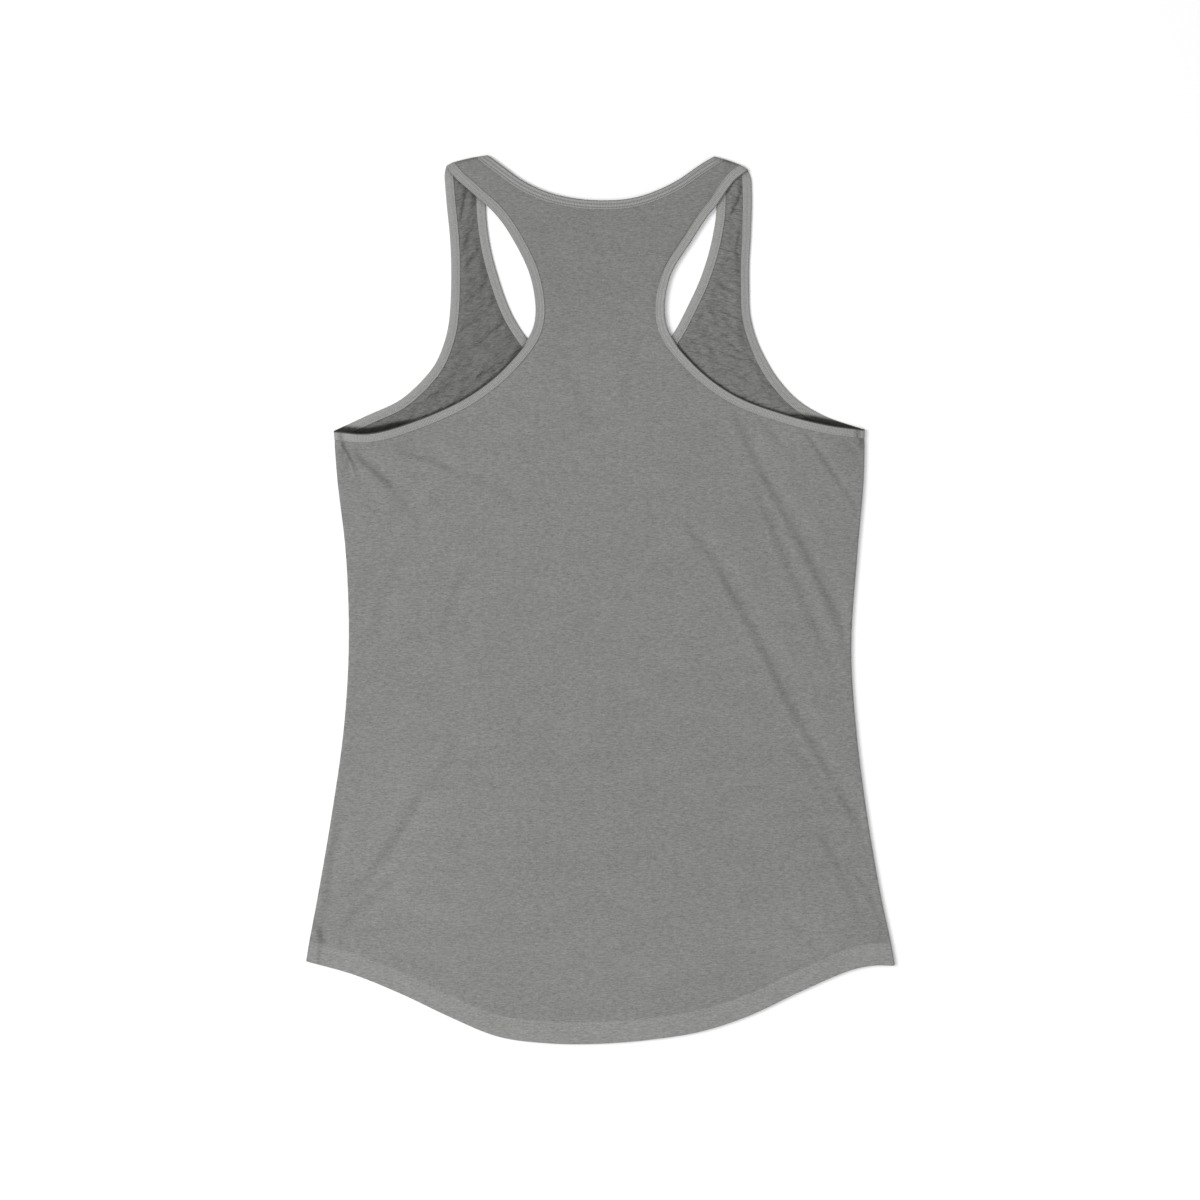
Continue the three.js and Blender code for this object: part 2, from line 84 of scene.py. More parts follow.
# neck: at the middle of the panel or, from the parting level, on the neckline. arm: on the
# armhole's edge. rows: rows of cloth up to the next level.
YokeLevel = namedtuple("YokeLevel", "neck_left arm_left neck_right arm_right rows")
FRONT_PARTING = 3
FRONT_YOKE = [
    YokeLevel((0, 92), (-208, 131), (0, 92), (206, 132), 14),
    YokeLevel((0, 118), (-182, 143), (0, 118), (175, 142.5), 14),
    YokeLevel((0, 144), (-156.5, 155), (0, 144), (154, 155), 13),
    YokeLevel((0, 170), (-138, 171.5), (0, 170), (138.5, 171.5), 8),
    YokeLevel((-17, 172), (-128.5, 184), (17, 172), (130.5, 184), 8),
    YokeLevel((-33, 180), (-122.5, 198), (33, 180.5), (123.5, 198), 8),
    YokeLevel((-47, 191.5), (-119, 211), (46.5, 193), (119, 211), 8),
    YokeLevel((-60, 207), (-117.4, 224), (57.5, 208), (116.5, 224), 9),
    YokeLevel((-70, 224), (-116.6, 240), (67, 226), (116, 240), 13),
    YokeLevel((-79.5, 250), (-116.5, 262), (78, 250), (116, 262), 13),
    YokeLevel((-86, 275), (-117.5, 283), (86, 276), (117.2, 283), 15),
    YokeLevel((-89.5, 305), (-120, 308), (90.5, 305), (118, 308), 20),
    YokeLevel((-88.5, 346.5), (-122.5, 339), (88.8, 345.5), (117.4, 335.5), 0),
]
BACK_PARTING = 7
BACK_YOKE = [
    YokeLevel((0, 92), (-208, 131), (0, 92), (206, 132), 8),
    YokeLevel((0, 112), (-180, 129), (0, 112), (178, 135.5), 9),
    YokeLevel((0, 134), (-143, 139.5), (0, 134), (144, 144), 11),
    YokeLevel((0, 162), (-101, 159.5), (0, 162), (103, 160), 10),
    YokeLevel((0, 190), (-71, 184.5), (0, 190), (71.5, 184.5), 10),
    YokeLevel((0, 225), (-52, 213), (0, 225), (51.5, 213), 11),
    YokeLevel((0, 268), (-54, 249), (0, 268), (53.5, 249), 12),
    YokeLevel((0, 310.5), (-72, 286.5), (0, 310.5), (71.5, 280), 7),
    YokeLevel((-23, 312.5), (-84, 302), (23, 312), (83, 297.5), 6),
    YokeLevel((-43, 317.5), (-94, 311), (42, 317.5), (91.5, 308), 6),
    YokeLevel((-61, 326), (-103, 319), (60.5, 326.5), (98.5, 318.5), 6),
    YokeLevel((-75, 336), (-112, 327), (75, 336.5), (106, 327.5), 8),
    YokeLevel((-88.5, 346.5), (-122.5, 339), (88.8, 345.5), (117.4, 335.5), 0),
]
print("levels:", len(BODY), "body,", len(FRONT_YOKE), "front yoke,", len(BACK_YOKE), "back yoke")

# %% [markdown]
# ## Sizes of the cloth
# Jersey for a tank like this is about 0.6 mm thick. The hem is turned up once by 17 mm, and
# the neck and armholes are closed by a strip that folds round the cut edge like a letter U.
# The panel's cut edge is tucked into that U, so the binding stands a little proud of it.

# %% Cloth sizes, in millimetres
JERSEY_THICKNESS = 0.55
PLY_THICKNESS = 0.45
HEM_CENTRE = BODY[0].middle
HEM_DEPTH = 17
HEM_PLIES = 1.5
HEM_FOLD = HEM_PLIES / 2
BINDING_WIDTH = 7
BINDING_TOP = 4
BINDING_PLIES = 1.6
TUCKED_EDGE = 3
BINDING_RADIUS = BINDING_TOP / 2
PANEL_RADIUS = 1.7
NESTED_RADIUS = 1.45
NEST_REACH = 5
BODY_SETTLE = 0.3
YOKE_SETTLE = 0.4
MOST_SUNK = 2.4
SETTLE_REACH = 24
CREASE_REACH = 5
FOLD_STEPS = 5

# %% [markdown]
# ## Smooth lines through the measured points
# A curve through a few points keeps the pattern short. This one passes through every point and
# leans on its neighbours, as a draftsman's flexible ruler does.

# %% Curves
Side = namedtuple("Side", "name sign neck arm")
SIDES = [Side("left", -1, 0, 1), Side("right", 1, 2, 3)]


def ramp(value, low, high):
    """0 up to low, 1 from high, and smooth in between."""
    share = min(1.0, max(0.0, (value - low) / (high - low)))
    return share * share * (3 - 2 * share)


def across(a, b):
    """The cross product of two plan vectors."""
    return a.x * b.y - a.y * b.x


def curve_point(points, t):
    """The place t on a curve: t is 0 at the first point, 1 at the second, and so on."""
    i = min(int(max(t, 0)), len(points) - 2)
    share = t - i
    a, b = points[i], points[i + 1]
    before = points[i - 1] if i > 0 else a * 2 - b
    after = points[i + 2] if i + 2 < len(points) else b * 2 - a
    g0, g1, g2 = [math.sqrt((q - p).length) for p, q in ((before, a), (a, b), (b, after))]
    leave = ((a - before) / g0 - (b - before) / (g0 + g1) + (b - a) / g1) * g1
    arrive = ((b - a) / g1 - (after - a) / (g1 + g2) + (after - b) / g2) * g1
    s2 = share * share
    s3 = s2 * share
    return (
        a * (2 * s3 - 3 * s2 + 1) + leave * (s3 - 2 * s2 + share)
        + b * (3 * s2 - 2 * s3) + arrive * (s3 - s2)
    )


def curve_way(points, t, reach):
    """The way along a curve, from a little before the place t to a little after it."""
    ahead = curve_point(points, min(t + reach, len(points) - 1))
    return ahead - curve_point(points, max(t - reach, 0))


def curve_times(rows, first=0.0, last=0.0):
    """Places along a curve, with a number of rows to each next point. first and last are the
    shares of the end spans that a fold takes up."""
    times = []
    for span, count in enumerate(rows):
        low = first if span == 0 else 0.0
        high = 1.0 - last if span == len(rows) - 1 else 1.0
        times += [span + low + (high - low) * row / count for row in range(count)]
    return times + [len(rows) - last]


def hem_level(x):
    """The level of the hem at a place across the garment."""
    i = max([k for k in range(len(HEM) - 1) if x >= HEM[k][0]], default=0)
    (xa, ya), (xb, yb) = HEM[i], HEM[i + 1]
    before, after = HEM[max(0, i - 1)], HEM[min(len(HEM) - 1, i + 2)]
    slope_a = (yb - before[1]) / (xb - before[0])
    slope_b = (after[1] - ya) / (after[0] - xa)
    s = (x - xa) / (xb - xa)
    level = ya * (1 + 2 * s) * (1 - s) ** 2 + yb * s * s * (3 - 2 * s)
    return level + (xb - xa) * (slope_a * s * (1 - s) ** 2 + slope_b * s * s * (s - 1))


print("hem level at the middle and the sides:", [round(hem_level(x), 1) for x in (-229, 0, 229)])

# %% [markdown]
# ## The bound edges
# Along the neckline and each armhole the cloth needs two things at every point: the free edge
# itself, and the direction into the cloth, as long as the binding is wide. Where an edge runs
# over the shoulder or round the side, that direction turns to lie along the fold.

# %% Edges of the yokes
TURN_IN = 12
FOLD_SKIP = 2.7
EdgePoint = namedtuple("EdgePoint", "free inward")
YokeEdges = namedtuple("YokeEdges", "middle neck arm neck_end arm_top arm_low")


def tucked_in(edge):
    """The panel's own cut edge, a little inside the binding's free edge."""
    return edge.free + edge.inward * (TUCKED_EDGE / BINDING_WIDTH)


def fold_end(corner, along, into, out):
    """The edge point where a bound edge meets a fold. along leaves the corner down the edge,
    into runs along the fold into the cloth, and out points away from the garment."""
    free = corner + along * (BINDING_RADIUS / abs(along.dot(out)))
    return EdgePoint(free, into * (BINDING_WIDTH / abs(across(into, along))))


def bound_edge(points, times, turn, ends):
    """Edge points along a curve. turn is 1 where the cloth lies to the left of the way."""
    found = []
    for t in times:
        free = curve_point(points, t)
        way = curve_way(points, t, 0.03)
        inward = Vector((-way.y, way.x)).normalized() * (turn * BINDING_WIDTH)
        for end in ends:
            share = ramp((free - end.free).length, 0, TURN_IN)
            inward = end.inward.lerp(inward, share)
        found.append(EdgePoint(free, inward))
    return found


def corner_vectors(side):
    """The two fold lines of one side: their corners, and the ways along and out of them."""
    top = [Vector(point) for point in FRONT_YOKE[-1][:4]]
    neck, arm = top[side.neck], top[side.arm]
    low, high = [Vector(getattr(level, side.name)) for level in BODY[-2:]]
    shoulder = (arm - neck).normalized()
    down = (low - high).normalized()
    shoulder_out = Vector((-shoulder.y, shoulder.x)) * side.sign
    side_out = Vector((-down.y, down.x)) * side.sign
    return neck, arm, high, shoulder, down, shoulder_out, side_out


def yoke_edges(yoke, parting, side):
    """All the edges of one half of a yoke, from its middle to the shoulder."""
    rows = [level.rows for level in yoke[:-1]]
    neck_corner, arm_corner, low_corner, shoulder, down, shoulder_out, side_out = corner_vectors(side)
    arm_points = [Vector(level[side.arm]) for level in yoke]
    left = [Vector(level.neck_left) for level in yoke[parting:]]
    right = [Vector(level.neck_right) for level in yoke[parting + 1:]]
    neckline = left[::-1] + right
    if side.sign < 0:
        neckline = neckline[::-1]
    spans = len(yoke) - 1 - parting
    corner_way = 0.4
    neck_along = (curve_point(neckline, 2 * spans - corner_way) - neck_corner).normalized()
    top_along = (curve_point(arm_points, len(rows) - corner_way) - arm_corner).normalized()
    low_along = (curve_point(arm_points, corner_way) - low_corner).normalized()
    neck_end = fold_end(neck_corner, neck_along, shoulder, shoulder_out)
    arm_top = fold_end(arm_corner, top_along, -shoulder, shoulder_out)
    arm_low = fold_end(low_corner, low_along, down, side_out)
    first = FOLD_SKIP / (arm_points[1] - arm_points[0]).length
    last = FOLD_SKIP / (arm_points[-1] - arm_points[-2]).length
    neck_last = FOLD_SKIP / (neckline[-1] - neckline[-2]).length
    arm = bound_edge(arm_points, curve_times(rows, first, last), side.sign, [arm_low, arm_top])
    neck_times = [spans + t for t in curve_times(rows[parting:], 0, neck_last)]
    neck = bound_edge(neckline, neck_times, -side.sign, [neck_end])
    middle_points = [Vector(level[side.neck]) for level in yoke[:parting + 1]]
    tuck = TUCKED_EDGE / (middle_points[-1] - middle_points[-2]).length
    middle = [curve_point(middle_points, t) for t in curve_times(rows[:parting], 0, tuck)]
    return YokeEdges(middle, neck, arm, neck_end, arm_top, arm_low)


FRONT_EDGES = {side.name: yoke_edges(FRONT_YOKE, FRONT_PARTING, side) for side in SIDES}
BACK_EDGES = {side.name: yoke_edges(BACK_YOKE, BACK_PARTING, side) for side in SIDES}
print("edge points up one back armhole:", len(BACK_EDGES["left"].arm))

# %% [markdown]
# ## Where the cloth lies high or low
# Laid on a table, the back panel sinks on to the front one everywhere except at its folded and
# bound edges, which are thicker. Long creases fan out from each underarm towards the sides and
# the hem. Seen across, each one drops steeply over a few millimetres and rises slowly again, so
# it reads as a thin dark line with a broad light flank. Each is a row of a table: where it
# runs, how far it bows, how deep it is, and how wide its steep and its slow flank are. A
# negative depth makes a ridge. A cloth simulation could find creases too, but not the ones that
# this shirt has, so they are listed one by one.

# %% Creases of the back panel, in millimetres
Crease = namedtuple("Crease", "start end bow depth fall rise")
BACK_CREASES = [
    Crease((62, 60), (106, -4), 3.5, 1.6, 5, 15),
    Crease((94, 18), (152, -92), 1.5, 1.9, 6, 17),
    Crease((136, -62), (206, -188), -0.5, 1.7, 7, 15),
    Crease((140, -104), (180, -160), 1, 1.2, 8, 8),
    Crease((168, -178), (206, -250), 0, 1.2, 8, 10),
    Crease((190, -200), (225, -264), 1, 1.2, 6, 7),
    Crease((142, -250), (176, -272), -2, 1.2, 6, 9),
    Crease((196, -90), (208, -166), 2, 0.9, 8, 10),
    Crease((102, 148), (140, 68), -0.5, 1.3, 6, 13),
    Crease((126, 96), (190, -28), 1.5, 2.0, 6, 16),
    Crease((176, 4), (200, -72), 1, 0.9, 8, 8),
    Crease((116, 98), (181, -55), -1, 1.3, 6, 9),
    Crease((155, 135), (206, 61), 0, 1.5, 3.4, 5),
    Crease((123, 140), (141, 116), 1, 0.9, 5, 8),
    Crease((174, 129), (203, 111), 1, 0.9, 3, 5),
    Crease((-196, 116), (-158, 82), 1, 2.2, 5.5, 14),
    Crease((-197, 107), (-162, 64), 2, -0.7, 4, 8),
    Crease((-162, 84), (-140, 54), 2, 0.9, 9, 13),
    Crease((-207, 124), (-192.5, 96), 1.5, -2.8, 2.2, 2.6),
    Crease((-162, 114), (-108, 96), 3, 1.8, 6, 9),
    Crease((-110, 98), (-64, 72), 3, 0.9, 8, 12),
    Crease((-120, 106), (-174, 8), -6, -0.7, 8, 12),
    Crease((-156, 42), (-180, -40), -2, 0.7, 9, 12),
    Crease((-100, 30), (-126, -30), -3, 1.1, 7, 12),
    Crease((-84, 58), (-140, -80), 4, 0.5, 10, 18),
    Crease((-112, -106), (-142, -160), 2, 0.9, 9, 14),
    Crease((-138, -146), (-196, -232), 4, 1.7, 8, 12),
    Crease((-158, -214), (-204, -256), -0.5, 1.8, 7.5, 12),
    Crease((-204, -168), (-214, -244), -3, 1.0, 8, 8),
    Crease((-164, -281), (-106, -296), 3, 0.7, 6, 9),
    Crease((-146, -290), (-104, -302), 2, 0.4, 5, 7),
    Crease((-222, -256), (-214, -272), 0, 1.4, 5, 6),
    Crease((30, -140), (78, -160), -6, 0.5, 10, 14),
    Crease((-30, 180), (-12, 132), 4, 0.5, 8, 12),
    Crease((30, 200), (18, 150), -4, 0.5, 8, 12),
    Crease((-26, 262), (24, 240), 3, 0.4, 7, 10),
]
ROLL_WIDTH = 9
ROLL_SHARE = 0.28

# The back panel stands open over each underarm, so its edge throws a deep shadow there.
Spot = namedtuple("Spot", "x y reach_x reach_y amount")
UNDERARM_LIFTS = [Spot(-176, 132, 34, 26, 4.2), Spot(172, 136, 32, 26, 3.4)]
LIFT_START = (1, 16)


def crease_height(point, creases):
    """The height that the creases give a point."""
    height = 0.0
    for crease in creases:
        start = Vector(crease.start)
        run = Vector(crease.end) - start
        share = (point - start).dot(run) / run.dot(run)
        if not -0.1 < share < 1.1:
            continue
        away = across(run.normalized(), point - start) - crease.bow * 4 * share * (1 - share)
        steep = crease.fall / 2
        if not -steep - ROLL_WIDTH < away < steep + crease.rise:
            continue
        ends = ramp(share, -0.08, 0.2) * (1 - ramp(share, 0.75, 1.08))
        low = ramp(away, -steep, steep) * (1 - ramp(away, steep, steep + crease.rise))
        roll = ramp(away, -steep - ROLL_WIDTH, -steep) * (1 - ramp(away, -steep, steep))
        height += crease.depth * ends * (ROLL_SHARE * roll - low)
    return height


def tree_of(points):
    """A search tree that finds the nearest of some plan points."""
    tree = kdtree.KDTree(len(points))
    for i, point in enumerate(points):
        tree.insert((point.x, point.y, 0), i)
    tree.balance()
    return tree


def nearest(tree, point):
    """The number of the nearest point of a tree, and how far away it is."""
    _, index, gap = tree.find((point.x, point.y, 0))
    return index, gap


def all_edge_points(edges):
    """The edge points of both halves of a yoke."""
    points = []
    for half in edges.values():
        points += half.neck + half.arm + [half.neck_end, half.arm_top, half.arm_low]
    return points


SEAMS = {side.name: [Vector(getattr(level, side.name)) for level in BODY] for side in SIDES}
SEAM_STEPS = 12
SEAM_TREE = tree_of([
    curve_point(SEAMS[side.name], step / SEAM_STEPS)
    for side in SIDES for step in range(SEAM_STEPS * (len(BODY) - 1))
])
FRONT_TREE = tree_of([point.free for point in all_edge_points(FRONT_EDGES)])
BACK_ARM = [point for half in BACK_EDGES.values() for point in half.arm]
BACK_ARM_TREE = tree_of([point.free for point in BACK_ARM])
BACK_TREE = tree_of([point.free for point in all_edge_points(BACK_EDGES)])


def soft_spots(point, spots):
    """What some soft oval spots give a point: most at their middles, fading outwards."""
    total = 0.0
    for spot in spots:
        beside = (point.x - spot.x) / spot.reach_x
        above = (point.y - spot.y) / spot.reach_y
        total += spot.amount * math.exp(-beside ** 2 - above ** 2)
    return total


def underarm_lift(point):
    """How far the back panel stands open over the underarms. It is shut at the side fold."""
    return soft_spots(point, UNDERARM_LIFTS) * ramp(nearest(SEAM_TREE, point)[1], *LIFT_START)


def beyond_back(point):
    """How far a point of the front panel shows past the back armhole's edge."""
    index, _ = nearest(BACK_ARM_TREE, point)
    edge = BACK_ARM[index]
    return (point - edge.free).dot(edge.inward) / -BINDING_WIDTH


print("lift at the left underarm:", round(underarm_lift(Vector((-176, 132))), 2), "mm")

# %% [markdown]
# ## The front panel where it shows
# Through the armholes the inside of the front shows. Nothing lies on it there, so it keeps the
# small ripples that washing leaves in jersey, and one or two sharper pleats run down each
# strap. Anisotropic noise gives the ripples: it is stretched across the strap.

# %% Wrinkles of the front panel
FRONT_CREASES = [
    Crease((-105, 318), (-110, 290), -1, 2.0, 2.8, 5),
    Crease((-109, 328), (-115, 316), 1, 1.5, 2.4, 4),
    Crease((-98, 292), (-109, 272), -1, 1.8, 3, 5),
    Crease((-92, 274), (-107, 258), -1, 1.6, 3, 5),
    Crease((-101, 262), (-112, 244), -2, 1.3, 3, 6),
    Crease((-88, 250), (-110, 228), 2, 1.3, 3.4, 6),
    Crease((-84, 228), (-112, 206), -2, 1.2, 3.6, 6),
    Crease((-78, 214), (-104, 198), 2, 1.2, 4, 7),
    Crease((-63, 192), (-88, 180), 2, 1.4, 5, 9),
    Crease((-80, 180), (-127, 168), 3, 1.2, 5, 9),
    Crease((-112, 196), (-142, 172), -2, 1.0, 4, 7),
    Crease((113, 332), (98, 296), 2, 2.0, 2.8, 5),
    Crease((117, 306), (105, 268), -2, 1.3, 3, 6),
    Crease((90, 276), (114, 262), 2, 1.2, 3, 6),
    Crease((86, 250), (115, 236), -2, 1.3, 3, 6),
    Crease((82, 226), (116, 210), 2, 1.2, 3.5, 6),
    Crease((80, 204), (112, 190), 2, 1.0, 4, 7),
    Crease((104, 192), (146, 168), 3, 1.0, 4, 7),
]
STRAP_RISE = 0.7
RIPPLE_LENGTH = 8
RIPPLE_PITCH = 3.6
RIPPLE_HEIGHT = 2.6
BROAD_RIPPLE_LENGTH = 24
BROAD_RIPPLE_PITCH = 9
LEFT_SLANT = 0.8
RIGHT_SLANT = -0.5


def ripples(point):
    """Small ripples, each a few millimetres across, slanting a little to each side."""
    slant = LEFT_SLANT if point.x < 0 else RIGHT_SLANT
    level = point.y - slant * point.x
    fine = noise.noise(Vector((point.x / RIPPLE_LENGTH, level / RIPPLE_PITCH, 1.7)))
    broad = noise.noise(Vector((point.x / BROAD_RIPPLE_LENGTH, level / BROAD_RIPPLE_PITCH, 5.3)))
    return max(0.0, 0.5 + 0.62 * fine + 0.5 * broad)


def front_wrinkles(point):
    """The height of the front panel's cloth above the table where it shows."""
    bare = ramp(beyond_back(point), -4, 5)
    if bare == 0:
        return 0.0
    height = STRAP_RISE + RIPPLE_HEIGHT * ripples(point) + crease_height(point, FRONT_CREASES)
    return bare * max(0.0, height)


# %% [markdown]
# ## Rows of a panel
# Each half of a panel is a stack of rows from the middle to the side, and each row ends in a
# quarter turn round the side fold. The rows start inside the hem, run down its inner ply, turn
# round its lower edge and climb the outer side. on_fold places a point at an angle round a
# fold: 0 degrees lies flat below and 180 lies flat on top.

# %% Build the rows
STRIP_COLUMNS = 10
EDGE_STRIP = 14
HEM_CURVE_FADE = (HEM_DEPTH + 4, 170)
SHOULDER_REACH = (2, 34)
BROAD_DRAPE = 0.3
FINE_DRAPE = 0.12
SEAM_GROOVE = 0.35
SEAM_GROOVE_HALF = 1.6
Layer = namedtuple("Layer", "edges tree turns centre nested_centre columns crowding")
LAYERS = {
    "front": Layer(FRONT_EDGES, FRONT_TREE, [0, 18, 36, 54, 72, 88], 1.7, 1.95, 58, 1.0),
    "back": Layer(BACK_EDGES, BACK_TREE, [180, 162, 144, 126, 108, 92], 2.0, 2.0, 80, 0.8),
}


def on_fold(base, out, degrees, centre, radius, raised=0.0):
    """A point at an angle round a fold."""
    angle = math.radians(degrees)
    spot = base + out * (radius * math.sin(angle))
    return Vector((spot.x, spot.y, centre - radius * math.cos(angle) + raised))


def column_shares(width, layer, extra=0):
    """Places from the middle (0) to the side (1), close together in the last strip. A crowding
    under 1 draws the other columns towards the side, where most creases are."""
    strip = min(EDGE_STRIP / width, 0.4)
    inner = [(1 - strip) * (i / layer.columns) ** layer.crowding for i in range(layer.columns)]
    fine = STRIP_COLUMNS + extra
    return inner + [1 - strip + strip * i / fine for i in range(fine + 1)]


def hem_rows():
    """(place up the body curve, depth inside the fold) for each row of the turned-up hem."""
    rise = BODY[1].middle - BODY[0].middle
    inner = [(place, HEM_PLIES) for place in (1.0, 0.75, 0.5, 0.28, 0.12)]
    turn = []
    for step in range(6):
        angle = math.pi * step / 5
        turn.append((HEM_FOLD * (1 - math.sin(angle)) / rise, HEM_FOLD * (1 + math.cos(angle))))
    return inner + turn


class PanelHalf:
    """The rows of one half of a panel."""

    def __init__(self, layer, side):
        self.layer = layer
        self.side = side
        self.sizes = LAYERS[layer]
        self.tree, self.turns = self.sizes.tree, self.sizes.turns
        self.edges = self.sizes.edges[side.name]
        other = FRONT_EDGES if layer == "back" else BACK_EDGES
        self.facing = other[side.name]
        corners = corner_vectors(side)
        self.neck_corner, self.arm_corner = corners[0], corners[1]
        self.down, self.shoulder_out, self.side_out = corners[4], corners[5], corners[6]
        self.rows = []
        self.body()
        self.yoke()
        self.shoulder()

    def nest(self, point):
        """1 where the cloth is tucked into a binding, 0 a few millimetres away."""
        return 1 - ramp(nearest(self.tree, point)[1] - BINDING_WIDTH, -1, NEST_REACH)

    def fold_sizes(self, point):
        """The centre height, the radius and the inset of the fold beside a point."""
        nest = self.nest(point)
        centre = self.sizes.centre + (self.sizes.nested_centre - self.sizes.centre) * nest
        radius = PANEL_RADIUS + (NESTED_RADIUS - PANEL_RADIUS) * nest
        return centre, radius, (BINDING_RADIUS - PANEL_RADIUS) * (1 - nest)

    def raised(self, point):
        """How far the flat cloth stands above or below its edges."""
        if self.layer == "front":
            return front_wrinkles(point) * (1 - self.nest(point))
        clear = nearest(self.tree, point)[1] - BINDING_WIDTH
        clear = min(clear, nearest(SEAM_TREE, point)[1] - PANEL_RADIUS)
        above_hem = point.y - hem_level(point.x)
        middle = (self.neck_corner + self.arm_corner) / 2
        off_shoulder = ramp(-(point - middle).dot(self.shoulder_out), *SHOULDER_REACH)
        settle = off_shoulder * ramp(clear, 2, SETTLE_REACH)
        settle *= ramp(above_hem, HEM_DEPTH, HEM_DEPTH + SETTLE_REACH)
        creased = off_shoulder * ramp(clear, 0, CREASE_REACH)
        creased *= ramp(above_hem, HEM_DEPTH - 1, HEM_DEPTH + CREASE_REACH)
        most = BODY_SETTLE + (YOKE_SETTLE - BODY_SETTLE) * ramp(point.y, 100, 130)
        drape = BROAD_DRAPE * noise.noise(Vector((point.x / 42, point.y / 60, 9.1)))
        drape += FINE_DRAPE * noise.noise(Vector((point.x / 16, point.y / 11, 3.4)))
        sunk = creased * crease_height(point, BACK_CREASES) + settle * (drape - most)
        seam_groove = -SEAM_GROOVE * math.exp(-((above_hem - HEM_DEPTH) / SEAM_GROOVE_HALF) ** 2)
        return underarm_lift(point) + max(sunk, -MOST_SUNK) + seam_groove

    def flat(self, point, depth=0.0):
        """A point of the flat cloth. depth is how far it lies inside a hem."""
        centre, radius, _ = self.fold_sizes(point)
        height = self.raised(point)
        return on_fold(point, Vector((0, 0)), self.turns[0], centre, radius - depth, height)

    def body_row(self, middle, base, out, fade, depth, fold, corner=None):
        """A row up to the side seam, bent to the hem's curve, with the side fold at its end."""
        row = []
        rise = hem_level(base.x) - HEM_CENTRE
        for share in column_shares((base - middle).length, self.sizes)[:-1]:
            point = middle.lerp(base, share)
            point.y += (hem_level(point.x) - HEM_CENTRE - rise * share) * fade
            row.append(self.flat(point, depth))
        centre, radius, _ = fold
        for turn in self.turns:
            spot = corner(turn) if corner else base
            row.append(on_fold(spot, out, turn, centre, radius - depth))
        return row

    def body(self):
        """The rows from inside the hem up to the underarm."""
        middles = [Vector((0, level.middle)) for level in BODY]
        seams = SEAMS[self.side.name]
        tucked = tucked_in(self.edges.arm_low)
        top_span = len(BODY) - 2
        cut = ((tucked - seams[-1]).length) / (seams[-1] - seams[-2]).length
        rows = [level.rows for level in BODY[:-1]]
        outer = [t for t in curve_times(rows) if t > 0]
        for t, depth in hem_rows() + [(t, 0.0) for t in outer[:-1]]:
            seam_t = t if t < top_span else top_span + (t - top_span) * (1 - cut)
            middle, seam = curve_point(middles, t), curve_point(seams, seam_t)
            way = curve_way(seams, seam_t, 0.05)
            out = Vector((way.y, -way.x)).normalized() * self.side.sign
            fold = self.fold_sizes(seam)
            base = seam - out * (BINDING_RADIUS - fold[2])
            fade = 1 - ramp(middle.y - HEM_CENTRE, *HEM_CURVE_FADE)
            self.rows.append(self.body_row(middle, base, out, fade, depth, fold))
        opposite = tucked_in(self.facing.arm_low)
        start = tucked if self.layer == "front" else opposite
        end = opposite if self.layer == "front" else tucked

        def corner(turn):
            return start.lerp(end, turn / 180)

        fold = self.fold_sizes(tucked)
        middle = self.edges.middle[0]
        self.rows.append(self.body_row(middle, tucked, self.side_out, 0, 0.0, fold, corner))

    def yoke(self):
        """The rows from the underarm up to the shoulder, parted at the neckline."""
        parting = len(self.edges.middle) - 1
        for i in range(1, len(self.edges.arm) - 1):
            arm_point = tucked_in(self.edges.arm[i])
            if i < parting:
                neck_point = self.edges.middle[i]
            else:
                neck_point = tucked_in(self.edges.neck[i - parting])
            shares = column_shares((arm_point - neck_point).length, self.sizes, FOLD_STEPS)
            self.rows.append([self.flat(neck_point.lerp(arm_point, share)) for share in shares])

    def shoulder(self):
        """The fold over the shoulder, from flat to a quarter turn."""
        halves = (self.edges, self.facing)
        ends = [(tucked_in(half.neck_end), tucked_in(half.arm_top)) for half in halves]
        if self.layer == "back":
            ends = ends[::-1]
        for turn in self.turns:
            neck = ends[0][0].lerp(ends[1][0], turn / 180)
            arm = ends[0][1].lerp(ends[1][1], turn / 180)
            row = []
            for share in column_shares((arm - neck).length, self.sizes, FOLD_STEPS):
                point = neck.lerp(arm, share)
                centre, radius, inset = self.fold_sizes(point)
                base = point + self.shoulder_out * inset
                row.append(on_fold(base, self.shoulder_out, turn, centre, radius))
            self.rows.append(row)


# %% [markdown]
# ## From rows to a cloth mesh
# create_grid gives a flat net with the right number of rows and columns, and its texture
# coordinates. Each of its points is then carried to its place in the rows. The two halves are
# joined by merging the points that they share up the middle, and the Solidify modifier gives
# the cloth its thickness, on the inner side only, so the outer face stays where the pattern
# puts it.

# %% Mesh helpers
CORNER_REACH = 5.5
SoftCorner = namedtuple("SoftCorner", "corner outward ease")
SOFT_CORNERS = []
for side in SIDES:
    neck_corner, arm_corner, _, shoulder, _, shoulder_out, _ = corner_vectors(side)
    SOFT_CORNERS.append(SoftCorner(arm_corner, (shoulder_out + shoulder).normalized(), 2.3))
    SOFT_CORNERS.append(SoftCorner(neck_corner, (shoulder_out - shoulder * 0.6).normalized(), 0.6))


def rounded(point):
    """A point, drawn in where it is near a corner of the shoulder."""
    plan = Vector((point.x, point.y))
    moved = point.copy()
    for soft in SOFT_CORNERS:
        pull = soft.ease * math.exp(-((plan - soft.corner).length / CORNER_REACH) ** 2)
        moved.x -= soft.outward.x * pull
        moved.y -= soft.outward.y * pull
    return moved


